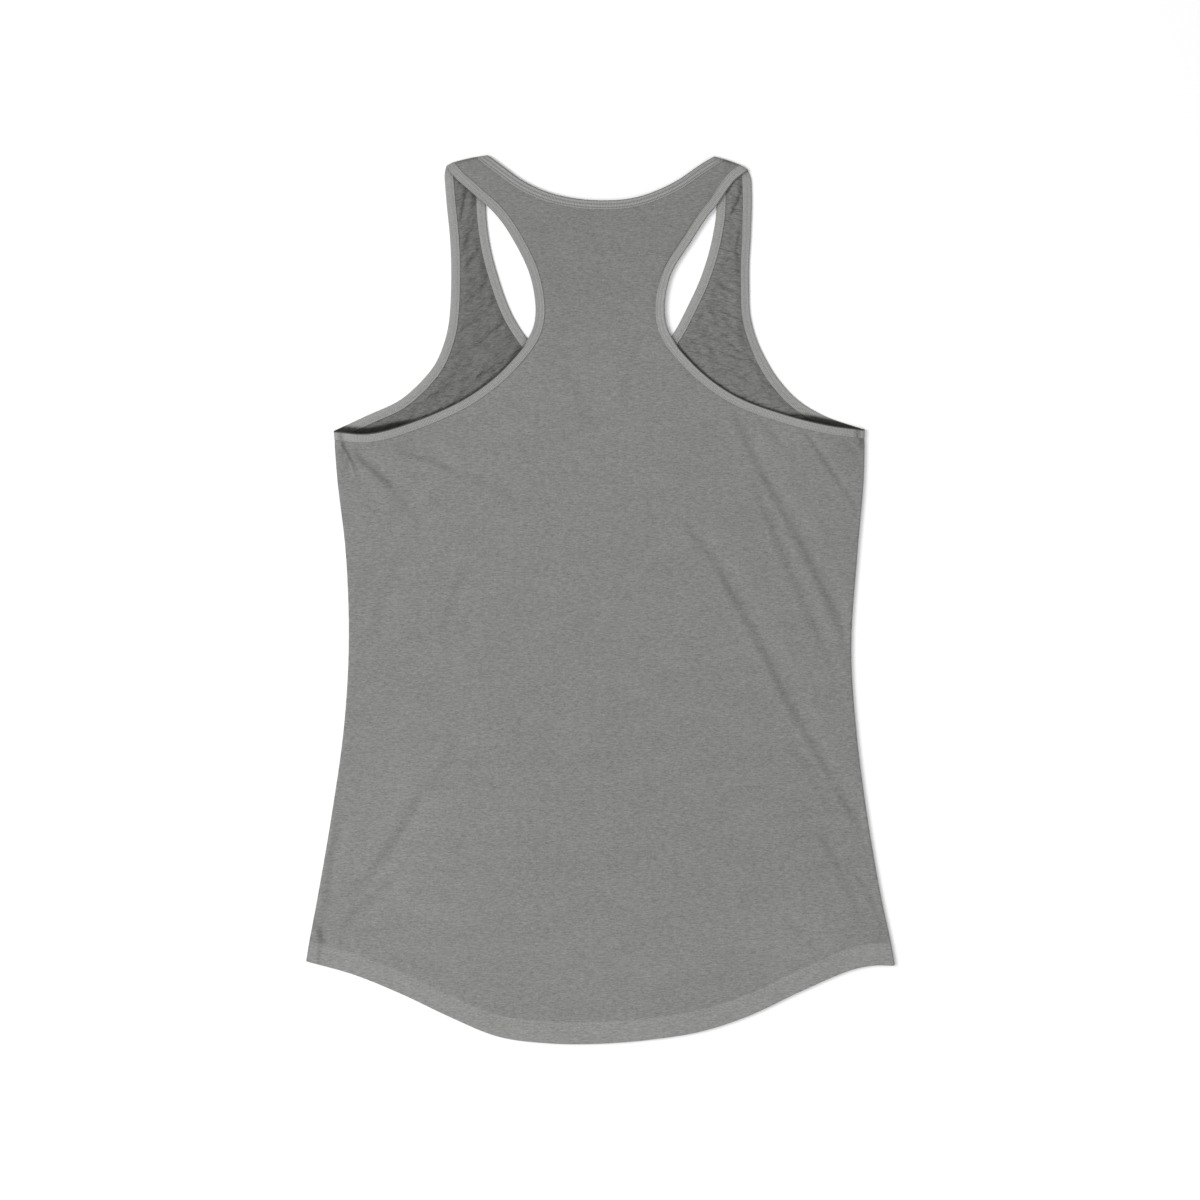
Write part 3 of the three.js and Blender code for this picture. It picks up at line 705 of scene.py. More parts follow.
def carry_grid(bm, rows):
    """Adds a grid to bm and carries its points to the rows, from millimetres to metres."""
    columns = len(rows[0])
    bm.loops.layers.uv.verify()
    steps = {"x_segments": columns - 1, "y_segments": len(rows) - 1}
    made = bmesh.ops.create_grid(bm, size=1, calc_uvs=True, **steps)
    for i, vert in enumerate(made["verts"]):
        vert.co = rounded(rows[i // columns][i % columns]) * MM


def finish_mesh(name, bm, materials, thickness=None, smooth=True):
    """Makes an object of a bmesh. thickness, in millimetres, is added on its inner side."""
    mesh = bpy.data.meshes.new(name)
    bm.to_mesh(mesh)
    bm.free()
    obj = bpy.data.objects.new(name, mesh)
    bpy.context.scene.collection.objects.link(obj)
    for material in materials:
        mesh.materials.append(material)
    if smooth:
        mesh.polygons.foreach_set("use_smooth", [True] * len(mesh.polygons))
    if thickness:
        solid = obj.modifiers.new("cloth_thickness", "SOLIDIFY")
        solid.thickness = thickness * MM
        solid.offset = -1
        solid.use_even_offset = False
        solid.use_rim = True
        if len(materials) > 1:
            solid.material_offset = 1
    return obj


def plan_area(obj):
    """The area of a mesh in square metres."""
    return sum(polygon.area for polygon in obj.data.polygons)


# %% [markdown]
# ## Heather jersey
# Heather yarn is spun from fibres dyed in several greys, so knitted rows show short level
# streaks, lighter and darker, a centimetre long and one or two rows high. The effect is a node
# group, because the body, the inside and the bindings all use it, each with its own amount.
# A second group makes the relief of the knit: upright ribs of small V stitches.

# %% Node helpers
def new_group(name, inputs, outputs):
    """An empty shader node group with named sockets."""
    group = bpy.data.node_groups.new(name, "ShaderNodeTree")
    for label, kind, value in inputs:
        socket = group.interface.new_socket(name=label, in_out="INPUT", socket_type=kind)
        if value is not None:
            socket.default_value = value
    for label, kind in outputs:
        group.interface.new_socket(name=label, in_out="OUTPUT", socket_type=kind)
    return group, group.nodes.new("NodeGroupInput"), group.nodes.new("NodeGroupOutput")


def math_node(tree, operation, first, second=None, third=None):
    """A Math node whose inputs are sockets or numbers."""
    node = tree.nodes.new("ShaderNodeMath")
    node.operation = operation
    for i, value in enumerate((first, second, third)):
        if value is None:
            continue
        if isinstance(value, (int, float)):
            node.inputs[i].default_value = value
        else:
            tree.links.new(value, node.inputs[i])
    return node.outputs[0]


def stretched_noise(tree, place, scale, detail, roughness=0.55, slant=0):
    """Noise with its own number of spots to the metre along each axis, turned by slant degrees."""
    mapping = tree.nodes.new("ShaderNodeMapping")
    mapping.vector_type = "TEXTURE"
    mapping.inputs["Rotation"].default_value = (0, 0, math.radians(slant))
    mapping.inputs["Scale"].default_value = [1 / count for count in scale]
    tree.links.new(place, mapping.inputs["Vector"])
    spots = tree.nodes.new("ShaderNodeTexNoise")
    spots.inputs["Scale"].default_value = 1
    spots.inputs["Detail"].default_value = detail
    spots.inputs["Roughness"].default_value = roughness
    tree.links.new(mapping.outputs[0], spots.inputs["Vector"])
    return spots.outputs["Fac"]


def spread(tree, value, low, high):
    """A value mapped from low..high to 0..1, with soft ends."""
    node = tree.nodes.new("ShaderNodeMapRange")
    node.interpolation_type = "SMOOTHSTEP"
    node.inputs["From Min"].default_value = low
    node.inputs["From Max"].default_value = high
    tree.links.new(value, node.inputs["Value"])
    return node.outputs["Result"]


# %% The heather group
FLOAT = "NodeSocketFloat"
PLACE_INPUT = ("Place", "NodeSocketVector", None)
RIB_PITCH = 0.00075
BINDING_RIB_PITCH = 0.0012
STITCH_ROW = 0.0006


def make_heather():
    """Level streaks and flecks of lighter and darker yarn, as a shade of 0 to 1."""
    inputs = [PLACE_INPUT, ("Streaks", FLOAT, 0.6), ("Flecks", FLOAT, 0.5)]
    group, start, end = new_group("heather_yarn", inputs, [("Shade", FLOAT)])
    place = start.outputs["Place"]
    streaks = stretched_noise(group, place, (230, 900, 230), 2)
    short = stretched_noise(group, place, (650, 1500, 650), 1)
    cloudy = stretched_noise(group, place, (22, 60, 22), 2)
    light = spread(group, stretched_noise(group, place, (300, 1300, 300), 1), 0.64, 0.78)
    dark = spread(group, stretched_noise(group, place, (260, 1100, 260), 1, 0.4), 0.38, 0.25)
    wave = math_node(group, "SUBTRACT", streaks, 0.5)
    wave = math_node(group, "MULTIPLY_ADD", math_node(group, "SUBTRACT", short, 0.5), 0.9, wave)
    wave = math_node(group, "MULTIPLY_ADD", math_node(group, "SUBTRACT", cloudy, 0.5), 0.2, wave)
    shade = math_node(group, "MULTIPLY_ADD", wave, start.outputs["Streaks"], 0.5)
    flecks = math_node(group, "SUBTRACT", light, dark)
    flecks = math_node(group, "MULTIPLY", flecks, start.outputs["Flecks"])
    group.links.new(math_node(group, "ADD", shade, flecks), end.inputs["Shade"])
    return group


def make_knit():
    """Upright ribs 0.75 mm apart, each a column of small V stitches 0.6 mm high."""
    inputs = [PLACE_INPUT, ("Rib", FLOAT, RIB_PITCH), ("Row", FLOAT, STITCH_ROW)]
    group, start, end = new_group("jersey_knit", inputs, [("Height", FLOAT)])
    parts = group.nodes.new("ShaderNodeSeparateXYZ")
    group.links.new(start.outputs["Place"], parts.inputs[0])
    rib = math_node(group, "DIVIDE", parts.outputs[0], start.outputs["Rib"])
    row = math_node(group, "DIVIDE", parts.outputs[1], start.outputs["Row"])
    in_rib = math_node(group, "FRACT", rib)
    from_middle = math_node(group, "ABSOLUTE", math_node(group, "SUBTRACT", in_rib, 0.5))
    slanted = math_node(group, "MULTIPLY_ADD", from_middle, 1.1, row)
    leg = math_node(group, "COSINE", math_node(group, "MULTIPLY", slanted, 2 * math.pi))
    valley = math_node(group, "COSINE", math_node(group, "MULTIPLY", rib, 2 * math.pi))
    height = math_node(group, "MULTIPLY_ADD", leg, 0.35, math_node(group, "MULTIPLY", valley, -0.6))
    group.links.new(height, end.inputs["Height"])
    return group


HEATHER = make_heather()
KNIT = make_knit()
print("groups:", HEATHER.name, KNIT.name)

# %% [markdown]
# ## Materials
# Every jersey is a rough, slightly fuzzy surface. The heather group mixes two greys of yarn.
# Two values painted on the cloth then change the mix: pale moves it towards the same yarn a few
# levels lighter, as in a turned-up hem of two plies and as a painted highlight, and deep moves it
# towards black, a painted shade where little light gets in. The bindings are a plainer, lighter
# jersey, and the inside is a darker one.

# %% Cloth materials
def grey(level):
    """A grey of 0 to 255, a trace warmer than neutral, as a linear colour."""
    def linear(value):
        value /= 255
        return value / 12.92 if value <= 0.04045 else ((value + 0.055) / 1.055) ** 2.4
    return (linear(level), linear(level), linear(level - 2), 1)


def mix_colours(tree, amount, first, second):
    """A colour between two others. Each may be a colour or a socket."""
    node = tree.nodes.new("ShaderNodeMix")
    node.data_type = "RGBA"
    tree.links.new(amount, node.inputs[0])
    for socket, value in ((node.inputs[6], first), (node.inputs[7], second)):
        if isinstance(value, tuple):
            socket.default_value = value
        else:
            tree.links.new(value, socket)
    return node.outputs[2]


DEEPEST = grey(8)
CRUMPLE_SLANTS = ((38, -15), (14, 6))
LEFT_CRUMPLE = (75, 290, 75)
RIGHT_CRUMPLE = (85, 340, 85)


def painted_mix(tree, value, first, second):
    """A colour between two others, by a value painted on the cloth."""
    painted = tree.nodes.new("ShaderNodeAttribute")
    painted.attribute_name = value
    return mix_colours(tree, painted.outputs["Fac"], first, second)


def crumpled(tree, place, height, crumple):
    """A height with small slanting wrinkles added, leaning one way at the left of the garment
    and the other way at the right."""
    parts = tree.nodes.new("ShaderNodeSeparateXYZ")
    tree.links.new(place, parts.inputs[0])
    at_right = spread(tree, parts.outputs[0], -0.02, 0.02)
    for left_slant, right_slant in CRUMPLE_SLANTS:
        left = stretched_noise(tree, place, LEFT_CRUMPLE, 2, 0.5, left_slant)
        right = stretched_noise(tree, place, RIGHT_CRUMPLE, 2, 0.5, right_slant)
        change = math_node(tree, "SUBTRACT", right, left)
        lean = math_node(tree, "MULTIPLY_ADD", change, at_right, left)
        height = math_node(tree, "MULTIPLY_ADD", lean, crumple, height)
    return height


def jersey(name, greys, streaks, flecks, knit, ripple, pale=0.0, crumple=0.0, strip_rib=None):
    """A heather jersey of two greys. strip_rib is the pitch of the ribs of a binding. It reads
    its own texture coordinates, so that the yarn runs along it and the ribs run across it.
    crumple is the height of small wrinkles, as on cloth that nothing presses flat."""
    dark, light = greys
    material = bpy.data.materials.new(name)
    material.use_nodes = True
    tree = material.node_tree
    shader = tree.nodes["Principled BSDF"]
    shader.inputs["Roughness"].default_value = 0.93
    shader.inputs["Sheen Weight"].default_value = 0.12
    shader.inputs["Sheen Roughness"].default_value = 0.5
    shader.inputs["Specular IOR Level"].default_value = 0.25
    place = tree.nodes.new("ShaderNodeTexCoord").outputs["UV" if strip_rib else "Object"]
    heather = tree.nodes.new("ShaderNodeGroup")
    heather.node_tree = HEATHER
    heather.inputs["Streaks"].default_value = streaks
    heather.inputs["Flecks"].default_value = flecks
    tree.links.new(place, heather.inputs["Place"])
    colour = mix_colours(tree, heather.outputs["Shade"], grey(dark), grey(light))
    paler = mix_colours(tree, heather.outputs["Shade"], grey(dark + pale), grey(light + pale))
    colour = painted_mix(tree, "pale", colour, paler)
    colour = painted_mix(tree, "deep", colour, DEEPEST)
    tree.links.new(colour, shader.inputs["Base Color"])
    loops = tree.nodes.new("ShaderNodeGroup")
    loops.node_tree = KNIT
    loops.inputs["Rib"].default_value = strip_rib or RIB_PITCH
    tree.links.new(place, loops.inputs["Place"])
    ripples_in_cloth = stretched_noise(tree, place, (190, 620, 190), 2)
    height = math_node(tree, "MULTIPLY", loops.outputs["Height"], knit)
    height = math_node(tree, "MULTIPLY_ADD", ripples_in_cloth, ripple, height)
    if crumple:
        height = crumpled(tree, place, height, crumple)
    bump = tree.nodes.new("ShaderNodeBump")
    bump.inputs["Strength"].default_value = 1
    bump.inputs["Distance"].default_value = MM
    tree.links.new(height, bump.inputs["Height"])
    tree.links.new(bump.outputs["Normal"], shader.inputs["Normal"])
    return material


# pale is how many levels lighter the yarn gets where it is painted pale: in the hem's two plies, and as
# painted highlights.
OUTSIDE = jersey("heather_jersey_outside", (95, 139), 1.0, 0.20, 0.035, 0.30, pale=10.5)
INSIDE = jersey("heather_jersey_inside", (78, 120), 1.0, 0.16, 0.05, 0.5, pale=12, crumple=2.8)
BINDING = jersey("binding_jersey", (137, 168), 0.8, 0.10, 0.22, 0.18, strip_rib=BINDING_RIB_PITCH)
THREAD = jersey("sewing_thread", (142, 158), 0.3, 0.0, 0.0, 0.05)
print("materials:", [m.name for m in (OUTSIDE, INSIDE, BINDING, THREAD)])

# %% [markdown]
# ## Light and shade painted on the cloth
# Real jersey is soft at its folds: it rolls over a side or a shoulder in a thin dark line, puckers
# where a seam is caught, and swells a little between its creases. At this size thin cloth throws
# almost none of that by itself, so each point of the mesh carries how pale and how deep in shade
# it is, worked out from where it lies. Nothing here is listed one by one beyond a few soft spots.

# %% Paint the shade
PALE_HEM = (16.6, 17.8)
# A painted highlight along the right side fold, which rolls away from the key lamp at the left.
RIGHT_FOLD_HIGHLIGHT_REACH = (0.8, 2.6)
SIDE_SHADE = {"left": 0.36, "right": 0.0}
SHOULDER_SHADE = {"left": 0.28, "right": 0.5}
SHOULDER_SHADE_END = {"left": 60, "right": 14}
# Painted shade: the narrow back gets darker towards the shoulders, as if it tilted away from the lamps.
NARROW_BACK_SHADE = 0.07
NARROW_BACK = (170, 260)
# A painted highlight on the inside of the right strap, which otherwise lies in more shade than the left
# one.
RIGHT_STRAP_HIGHLIGHT = 0.8
RIGHT_STRAP = (0, 40)

# Painted shade of small puckers where the side seams meet the hem and the bindings.
PUCKER_SHADES = [
    Spot(-218, -264, 2.4, 8, 0.24), Spot(-219.5, -278, 1.4, 9, 0.2), Spot(203, 122, 2.2, 5, 0.36),
    Spot(217, -266, 3.5, 6, 0.12), Spot(-200.5, 118, 1.6, 7, 0.42), Spot(-197, 108, 2.2, 6, 0.25),
]

# Painted highlights: broad swells of the cloth that face the lamps look a little paler.
SWELL_HIGHLIGHTS = [
    Spot(-158, -200, 62, 95, 0.34), Spot(150, -262, 46, 30, 0.4), Spot(-10, -285, 120, 50, 0.2),
]


def shade_under_back(point):
    """How dark the front lies just past the back armhole's edge: deepest at the underarm."""
    gap = beyond_back(point)
    if gap < -6 or abs(point.x) < 52:
        return 0.0
    underarm = ramp(abs(point.x), 138, 168)
    low = 1 - ramp(point.y, 188, 210)
    strap = 0.2 if point.x < 0 else 0.0
    reach = 1.8 + 4.6 * underarm
    return min(0.92, strap + 0.35 * low + 0.57 * underarm) * (1 - ramp(gap, reach * 0.55, reach))


def shade_at_fold(point):
    """How much darker the cloth looks where it rolls over a side or a shoulder."""
    shade = 0.0
    for side in SIDES:
        neck_corner, _, _, _, _, shoulder_out, _ = corner_vectors(side)
        if point.x * side.sign > 0:
            at_side = 1 - ramp(nearest(SEAM_TREE, point)[1], 0.2, 1.8)
            at_shoulder = 1 - ramp((neck_corner - point).dot(shoulder_out), 0.4, 3.4)
            end = SHOULDER_SHADE_END[side.name]
            at_shoulder *= 1 - 0.75 * ramp((neck_corner - point).length, end * 0.8, end * 1.5)
            shade = max(shade, SIDE_SHADE[side.name] * at_side, SHOULDER_SHADE[side.name] * at_shoulder)
    return shade


def paint(bm, layer):
    """Stores how pale and how deep in shade each point of a piece is."""
    pale = bm.verts.layers.float.new("pale")
    deep = bm.verts.layers.float.new("deep")
    for vert in bm.verts:
        point = Vector((vert.co.x, vert.co.y)) / MM
        if layer == "back":
            from_seam = nearest(SEAM_TREE, point)[1]
            # A painted highlight on the right side fold and on the swells; the hem is paler because it
            # has two plies.
            right_fold_highlight = 1 - ramp(from_seam, *RIGHT_FOLD_HIGHLIGHT_REACH) if point.x > 0 else 0.0
            in_hem = 1 - ramp(point.y - hem_level(point.x), *PALE_HEM)
            vert[pale] = max(right_fold_highlight, in_hem, soft_spots(point, SWELL_HIGHLIGHTS))
            # Painted shade at the side and shoulder folds, at the puckers and towards the top of the
            # narrow back.
            narrow = NARROW_BACK_SHADE * ramp(point.y, *NARROW_BACK)
            vert[deep] = shade_at_fold(point) + soft_spots(point, PUCKER_SHADES) + narrow
        else:
            # A painted highlight on the right strap's inside, and painted shadow past the back armhole's
            # edge.
            vert[pale] = RIGHT_STRAP_HIGHLIGHT * ramp(point.x, *RIGHT_STRAP)
            vert[deep] = shade_under_back(point)


# %% [markdown]
# ## The two panels
# The back lies on top and is seen from outside. The front lies face down, and only the inside
# of its straps shows. Both are made by the same function from their own layer's sizes.

# %% Make the panels
PANEL_HALVES = {(layer, side.name): PanelHalf(layer, side) for layer in LAYERS for side in SIDES}


def make_panel(layer, materials):
    """One panel of cloth, from both of its halves."""
    bm = bmesh.new()
    for side in SIDES:
        carry_grid(bm, PANEL_HALVES[layer, side.name].rows)
    bmesh.ops.remove_doubles(bm, verts=bm.verts, dist=1e-6)
    bmesh.ops.recalc_face_normals(bm, faces=bm.faces)
    middle = min(bm.faces, key=lambda face: (face.calc_center_median() - Vector((0, 0, 0.004))).length)
    outer_up = layer == "back"
    if (middle.normal.z > 0) != outer_up:
        bmesh.ops.reverse_faces(bm, faces=bm.faces)
    paint(bm, layer)
    cloth = finish_mesh(f"{layer}_panel_cloth", bm, materials, JERSEY_THICKNESS)
    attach(cloth, "root")
    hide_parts(f"{layer}_panel")
    print(cloth.name, len(cloth.data.polygons), "faces,", round(plan_area(cloth), 4), "square metres")
    return cloth


back_cloth = make_panel("back", [OUTSIDE, INSIDE])
front_cloth = make_panel("front", [OUTSIDE, INSIDE])

# %% [markdown]
# ## The bindings
# A binding is one strip of jersey folded lengthwise round the raw edge and closed by a
# coverstitch, two rows of straight stitches on the outside. The strip is a long net again: its
# short side follows a U, and its long side runs right round the neck or the armhole, over the
# shoulder folds, until it meets its own start.

# %% The shape of a binding
Section = namedtuple("Section", "free inward out turn")
OUTER_STITCH_LINES = (3.0, 5.7)
GROOVE_DEPTH = 0.26
GROOVE_HALF = 0.7
BINDING_FOLD = BINDING_PLIES / 2
BINDING_FOLD_STEPS = 6
BINDING_LEG = [7, 6.6, 6.1, 5.7, 5.3, 4.8, 4.2, 3.5, 3.0, 2.5, 1.9, 1.3]


def at_stitches(distance, half):
    """1 on a stitch line of a binding, fading over half on both sides."""
    return sum(math.exp(-((distance - line) / half) ** 2) for line in OUTER_STITCH_LINES)


def u_profile():
    """(distance from the free edge, radius, width along the strip) across the folded strip."""
    fold_radius = BINDING_RADIUS - BINDING_FOLD
    points = []
    for distance in BINDING_LEG:
        radius = BINDING_RADIUS - GROOVE_DEPTH * at_stitches(distance, GROOVE_HALF)
        points.append((distance, radius))
    for step in range(BINDING_FOLD_STEPS + 1):
        angle = math.pi * step / BINDING_FOLD_STEPS
        distance = BINDING_FOLD * (1 - math.sin(angle))
        points.append((distance, fold_radius + BINDING_FOLD * math.cos(angle)))
    for distance in reversed(BINDING_LEG):
        points.append((distance, BINDING_RADIUS - BINDING_PLIES))
    widths = [0.0]
    for a, b in zip(points, points[1:]):
        widths.append(widths[-1] + math.hypot(b[0] - a[0], b[1] - a[1]))
    return [(*point, width) for point, width in zip(points, widths)]


PROFILE = u_profile()


def section_point(section, distance, radius):
    """A point of the binding: distance from its free edge, radius from the fold's axis."""
    base = section.free + section.inward * (distance / BINDING_WIDTH)
    raised = underarm_lift(base) if section.turn == 180 else 0.0
    return on_fold(base, section.out, section.turn, BINDING_RADIUS, radius, raised)


def flat_sections(edge, turn):
    """The sections along a flat stretch: turn is 0 on the layer below and 180 on top."""
    return [Section(point.free, point.inward, Vector((0, 0)), turn) for point in edge]


def fold_sections(front_end, back_end, out):
    """The sections round a fold, from the layer below to the one on top."""
    sections = []
    for step in range(2 * FOLD_STEPS + 1):
        share = step / (2 * FOLD_STEPS)
        free = front_end.free.lerp(back_end.free, share)
        inward = front_end.inward.lerp(back_end.inward, share)
        sections.append(Section(free, inward, out, 180 * share))
    return sections


def armhole_sections(side):
    """Up the front armhole, over the shoulder, down the back one and round the side."""
    front, back = FRONT_EDGES[side.name], BACK_EDGES[side.name]
    corners = corner_vectors(side)
    return (
        flat_sections(front.arm[1:-1:2], 0)
        + fold_sections(front.arm_top, back.arm_top, corners[5])
        + flat_sections(back.arm[-2:0:-1], 180)
        + fold_sections(front.arm_low, back.arm_low, corners[6])[::-1]
    )


def neck_sections():
    """Up the left front, over the shoulder, round the back and down the right front."""
    left_front, left_back = FRONT_EDGES["left"], BACK_EDGES["left"]
    right_front, right_back = FRONT_EDGES["right"], BACK_EDGES["right"]
    left_out, right_out = corner_vectors(SIDES[0])[5], corner_vectors(SIDES[1])[5]
    return (
        flat_sections(left_front.neck[0:-1:2], 0)
        + fold_sections(left_front.neck_end, left_back.neck_end, left_out)
        + flat_sections(left_back.neck[-2:0:-1], 180)
        + flat_sections(right_back.neck[0:-1], 180)
        + fold_sections(right_front.neck_end, right_back.neck_end, right_out)[::-1]
        + flat_sections(right_front.neck[-2:0:-2], 0)
    )


def loop_lengths(sections):
    """The length along the middle of a binding up to each section, and all round it."""
    spots = [section_point(section, BINDING_WIDTH / 2, BINDING_RADIUS) for section in sections]
    lengths = [0.0]
    for a, b in zip(spots, spots[1:] + spots[:1]):
        lengths.append(lengths[-1] + (b - a).length)
    return lengths


# %% [markdown]
# ## Shade on the bindings
# The rolled edge turns away from the lamps, the stitched rows are pulled in, and the ends of
# each armhole strip meet beside the side seam in a thin dark line. Along the low part of a back
# armhole the binding's edge lies over the open underarm, so it is darkest there.

# %% Make the bindings
# How dark a binding is at its rolled edge, at its stitched rows, where it meets the cloth, and
# all over.
BindingShade = namedtuple("BindingShade", "edge rows inner flat")
NECK_SHADE = BindingShade(0.6, 0.42, 0.0, 0.0)
NECK_THREAD_SHADE = 0.28
ARM_SHADES = {
    "left": BindingShade(0.3, 0.08, 0.0, 0.04),
    "right": BindingShade(0.3, 0.08, 0.7, 0.0),
}
ROW_HALF = 0.5
ROLLED_EDGE = (0.3, 1.1)
CLOTH_SIDE = (6.3, 6.8)
SHADED_LEVELS = {"below": (182, 310), "on_top": (238, 336)}
OPEN_GAP_SHADE = 0.9
JOIN_INSET = 6.3
JOIN_HALF = 2.6
JOIN_LENGTH = 14
JOIN_SHADE = 0.5


def shade_at_join(point):
    """The ends of an armhole binding meet beside the side seam, in a thin dark line."""
    shade = 0.0
    for side in SIDES:
        _, _, high, _, down, _, side_out = corner_vectors(side)
        away = (high - point).dot(side_out) - JOIN_INSET
        if abs((point - high).dot(down)) < JOIN_LENGTH:
            shade = max(shade, JOIN_SHADE * (1 - ramp(abs(away), 0, JOIN_HALF)))
    return shade


def shade_of_binding(distance, outside, below, point, shade):
    """How dark one point of a binding looks. below: on the layer underneath."""
    low, high = SHADED_LEVELS["below" if below else "on_top"]
    inner = shade.inner * ramp(distance, *CLOTH_SIDE)
    inner *= ramp(point.y, low, low + 18) * (1 - ramp(point.y, high - 48, high))
    edge = shade.edge * (1 - ramp(distance, *ROLLED_EDGE))
    if below:
        return max(0.3 * edge, inner, shade.flat)
    open_gap = (1 - ramp(point.y, 194, 204)) * ramp(abs(point.x), 50, 60)
    open_gap *= OPEN_GAP_SHADE * (1 - ramp(distance, 0.6, 1.5))
    stitched = shade.rows * at_stitches(distance, ROW_HALF) if outside else 0.0
    return max(edge, open_gap, stitched, inner, shade.flat)


def make_binding(name, sections, node, shade):
    """A folded strip right round its loop of sections."""
    lengths = loop_lengths(sections)
    loop = sections + sections[:1]
    bm = bmesh.new()
    rows = [[section_point(one, distance, radius) for one in loop] for distance, radius, _ in PROFILE]
    carry_grid(bm, rows)
    layer = bm.loops.layers.uv.active
    columns = len(sections)
    for face in bm.faces:
        for corner in face.loops:
            along, up = corner[layer].uv
            place = lengths[round(along * columns)]
            width = PROFILE[round(up * (len(PROFILE) - 1))][2]
            corner[layer].uv = (place * MM, width * MM)
    deep = bm.verts.layers.float.new("deep")
    for i, vert in enumerate(bm.verts):
        distance, radius, _ = PROFILE[i // (columns + 1)]
        point = Vector((vert.co.x, vert.co.y)) / MM
        below = vert.co.z < BINDING_RADIUS * MM
        outside = i < len(BINDING_LEG) * (columns + 1)
        own = shade_of_binding(distance, outside, below, point, shade)
        under = shade_under_back(point) if below else 0.0
        vert[deep] = max(own, under, shade_at_join(point), shade_at_fold(point))
    bmesh.ops.remove_doubles(bm, verts=bm.verts, dist=1e-6)
    bmesh.ops.recalc_face_normals(bm, faces=bm.faces)
    top = max(bm.faces, key=lambda face: face.calc_center_median().z)
    if top.normal.z < 0:
        bmesh.ops.reverse_faces(bm, faces=bm.faces)
    strip = finish_mesh(name, bm, [BINDING], PLY_THICKNESS)
    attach(strip, "root")
    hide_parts(node)
    print(name, len(strip.data.polygons), "faces,", round(lengths[-1]), "mm round")
    return strip, lengths[-1]


neck_strip, neck_length = make_binding("neck_binding_cloth", neck_sections(), "neck_binding", NECK_SHADE)
for side in SIDES:
    cloth, node = f"armhole_binding_cloth_{side.name}", f"armhole_binding_{side.name}"
    shade = ARM_SHADES[side.name]
    make_binding(cloth, armhole_sections(side), node, shade)

# %% [markdown]
# ## Stitches
# Two rows of thread hold each binding and the hem. A coverstitch shows straight stitches on the
# outside and small crossing loops on the inside. Each stitch is a low, round grain of thread
# half sunk in the cloth, so a few faces are enough: an icosphere drawn out to its length. The
# grains of one seam are joined in one piece.

# %% Stitch helpers
STITCH_PITCH = 3.0
STITCH_LENGTH = 2.3
LOOP_PITCH = 1.5
THREAD_WIDTH = 0.5
THREAD_HEIGHT = 0.36
THREAD_PROUD = 0.06
LOOP_PROUD = 0.08
HEM_THREAD_PROUD = -0.02
HEM_STITCH_LINES = (13.4, 15.9)
HEM_TRACK_STEPS = 75


def add_grain(bm, place, along, up, length):
    """One stitch, lying along a way on a cloth that faces up."""
    forward = along.normalized()
    across_it = up.cross(forward).normalized()
    rise = forward.cross(across_it)
    columns = (forward * length / 2, across_it * THREAD_WIDTH / 2, rise * THREAD_HEIGHT / 2)
    turn = Matrix(columns).transposed().to_4x4()
    spot = Matrix.Translation(rounded(place) * MM)
    bmesh.ops.create_icosphere(bm, subdivisions=1, radius=MM, matrix=spot @ turn)


def evenly(track, pitch):
    """Pairs of neighbouring places at an even pitch along a track of (place, up) points."""
    carried, found = 0.0, []
    for (a, up_a), (b, up_b) in zip(track, track[1:]):
        length = (b - a).length
        while carried < length:
            share = carried / length
            found.append((a.lerp(b, share), b - a, up_a.lerp(up_b, share)))
            carried += pitch
        carried -= length
    return found


def stitch_object(name, bm, shade=0.0):
    """A piece of all the stitches of a seam. Below they are in shade where the cloth is, and on
    top they are as dark as shade says."""
    deep = bm.verts.layers.float.new("deep")
    for vert in bm.verts:
        if vert.co.z < BINDING_RADIUS * MM:
            vert[deep] = shade_under_back(Vector((vert.co.x, vert.co.y)) / MM)
        else:
            vert[deep] = shade
    stitches = finish_mesh(name, bm, [THREAD])
    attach(stitches, "root")
    print(name, len(stitches.data.polygons), "faces")
    return stitches


# %% Stitches of the bindings and the hem
def binding_stitches(name, sections, shade=0.0):
    """Both rows outside, and the crossing loops inside, right round a binding."""
    bm = bmesh.new()
    loop = sections + sections[:1]
    for line in OUTER_STITCH_LINES:
        track = []
        for section in loop:
            place = section_point(section, line, BINDING_RADIUS - GROOVE_DEPTH + THREAD_PROUD)
            track.append((place, place - section_point(section, line, 0)))
        for place, along, up in evenly(track, STITCH_PITCH):
            add_grain(bm, place, along, up, STITCH_LENGTH)
    inner = BINDING_RADIUS - BINDING_PLIES - LOOP_PROUD
    low, high = OUTER_STITCH_LINES
    tracks = []
    for line in (low, high):
        places = [section_point(section, line, inner) for section in loop]
        ups = [section_point(section, line, 0) - place for section, place in zip(loop, places)]
        tracks.append(evenly(list(zip(places, ups)), LOOP_PITCH))
    shares = min(len(track) for track in tracks)
    for i in range(shares - 1):
        a = tracks[0][i * len(tracks[0]) // shares]
        b = tracks[1][i * len(tracks[1]) // shares]
        crossing = b[0] - a[0] + a[1].normalized() * 0.5
        add_grain(bm, (a[0] + b[0]) / 2, crossing, a[2], high - low + 0.4)
    stitches = stitch_object(name, bm, shade)
    return stitches


neck_stitches = binding_stitches("neck_binding_stitches", neck_sections(), NECK_THREAD_SHADE)
for side in SIDES:
    name = f"armhole_binding_stitches_{side.name}"
    binding_stitches(name, armhole_sections(side))


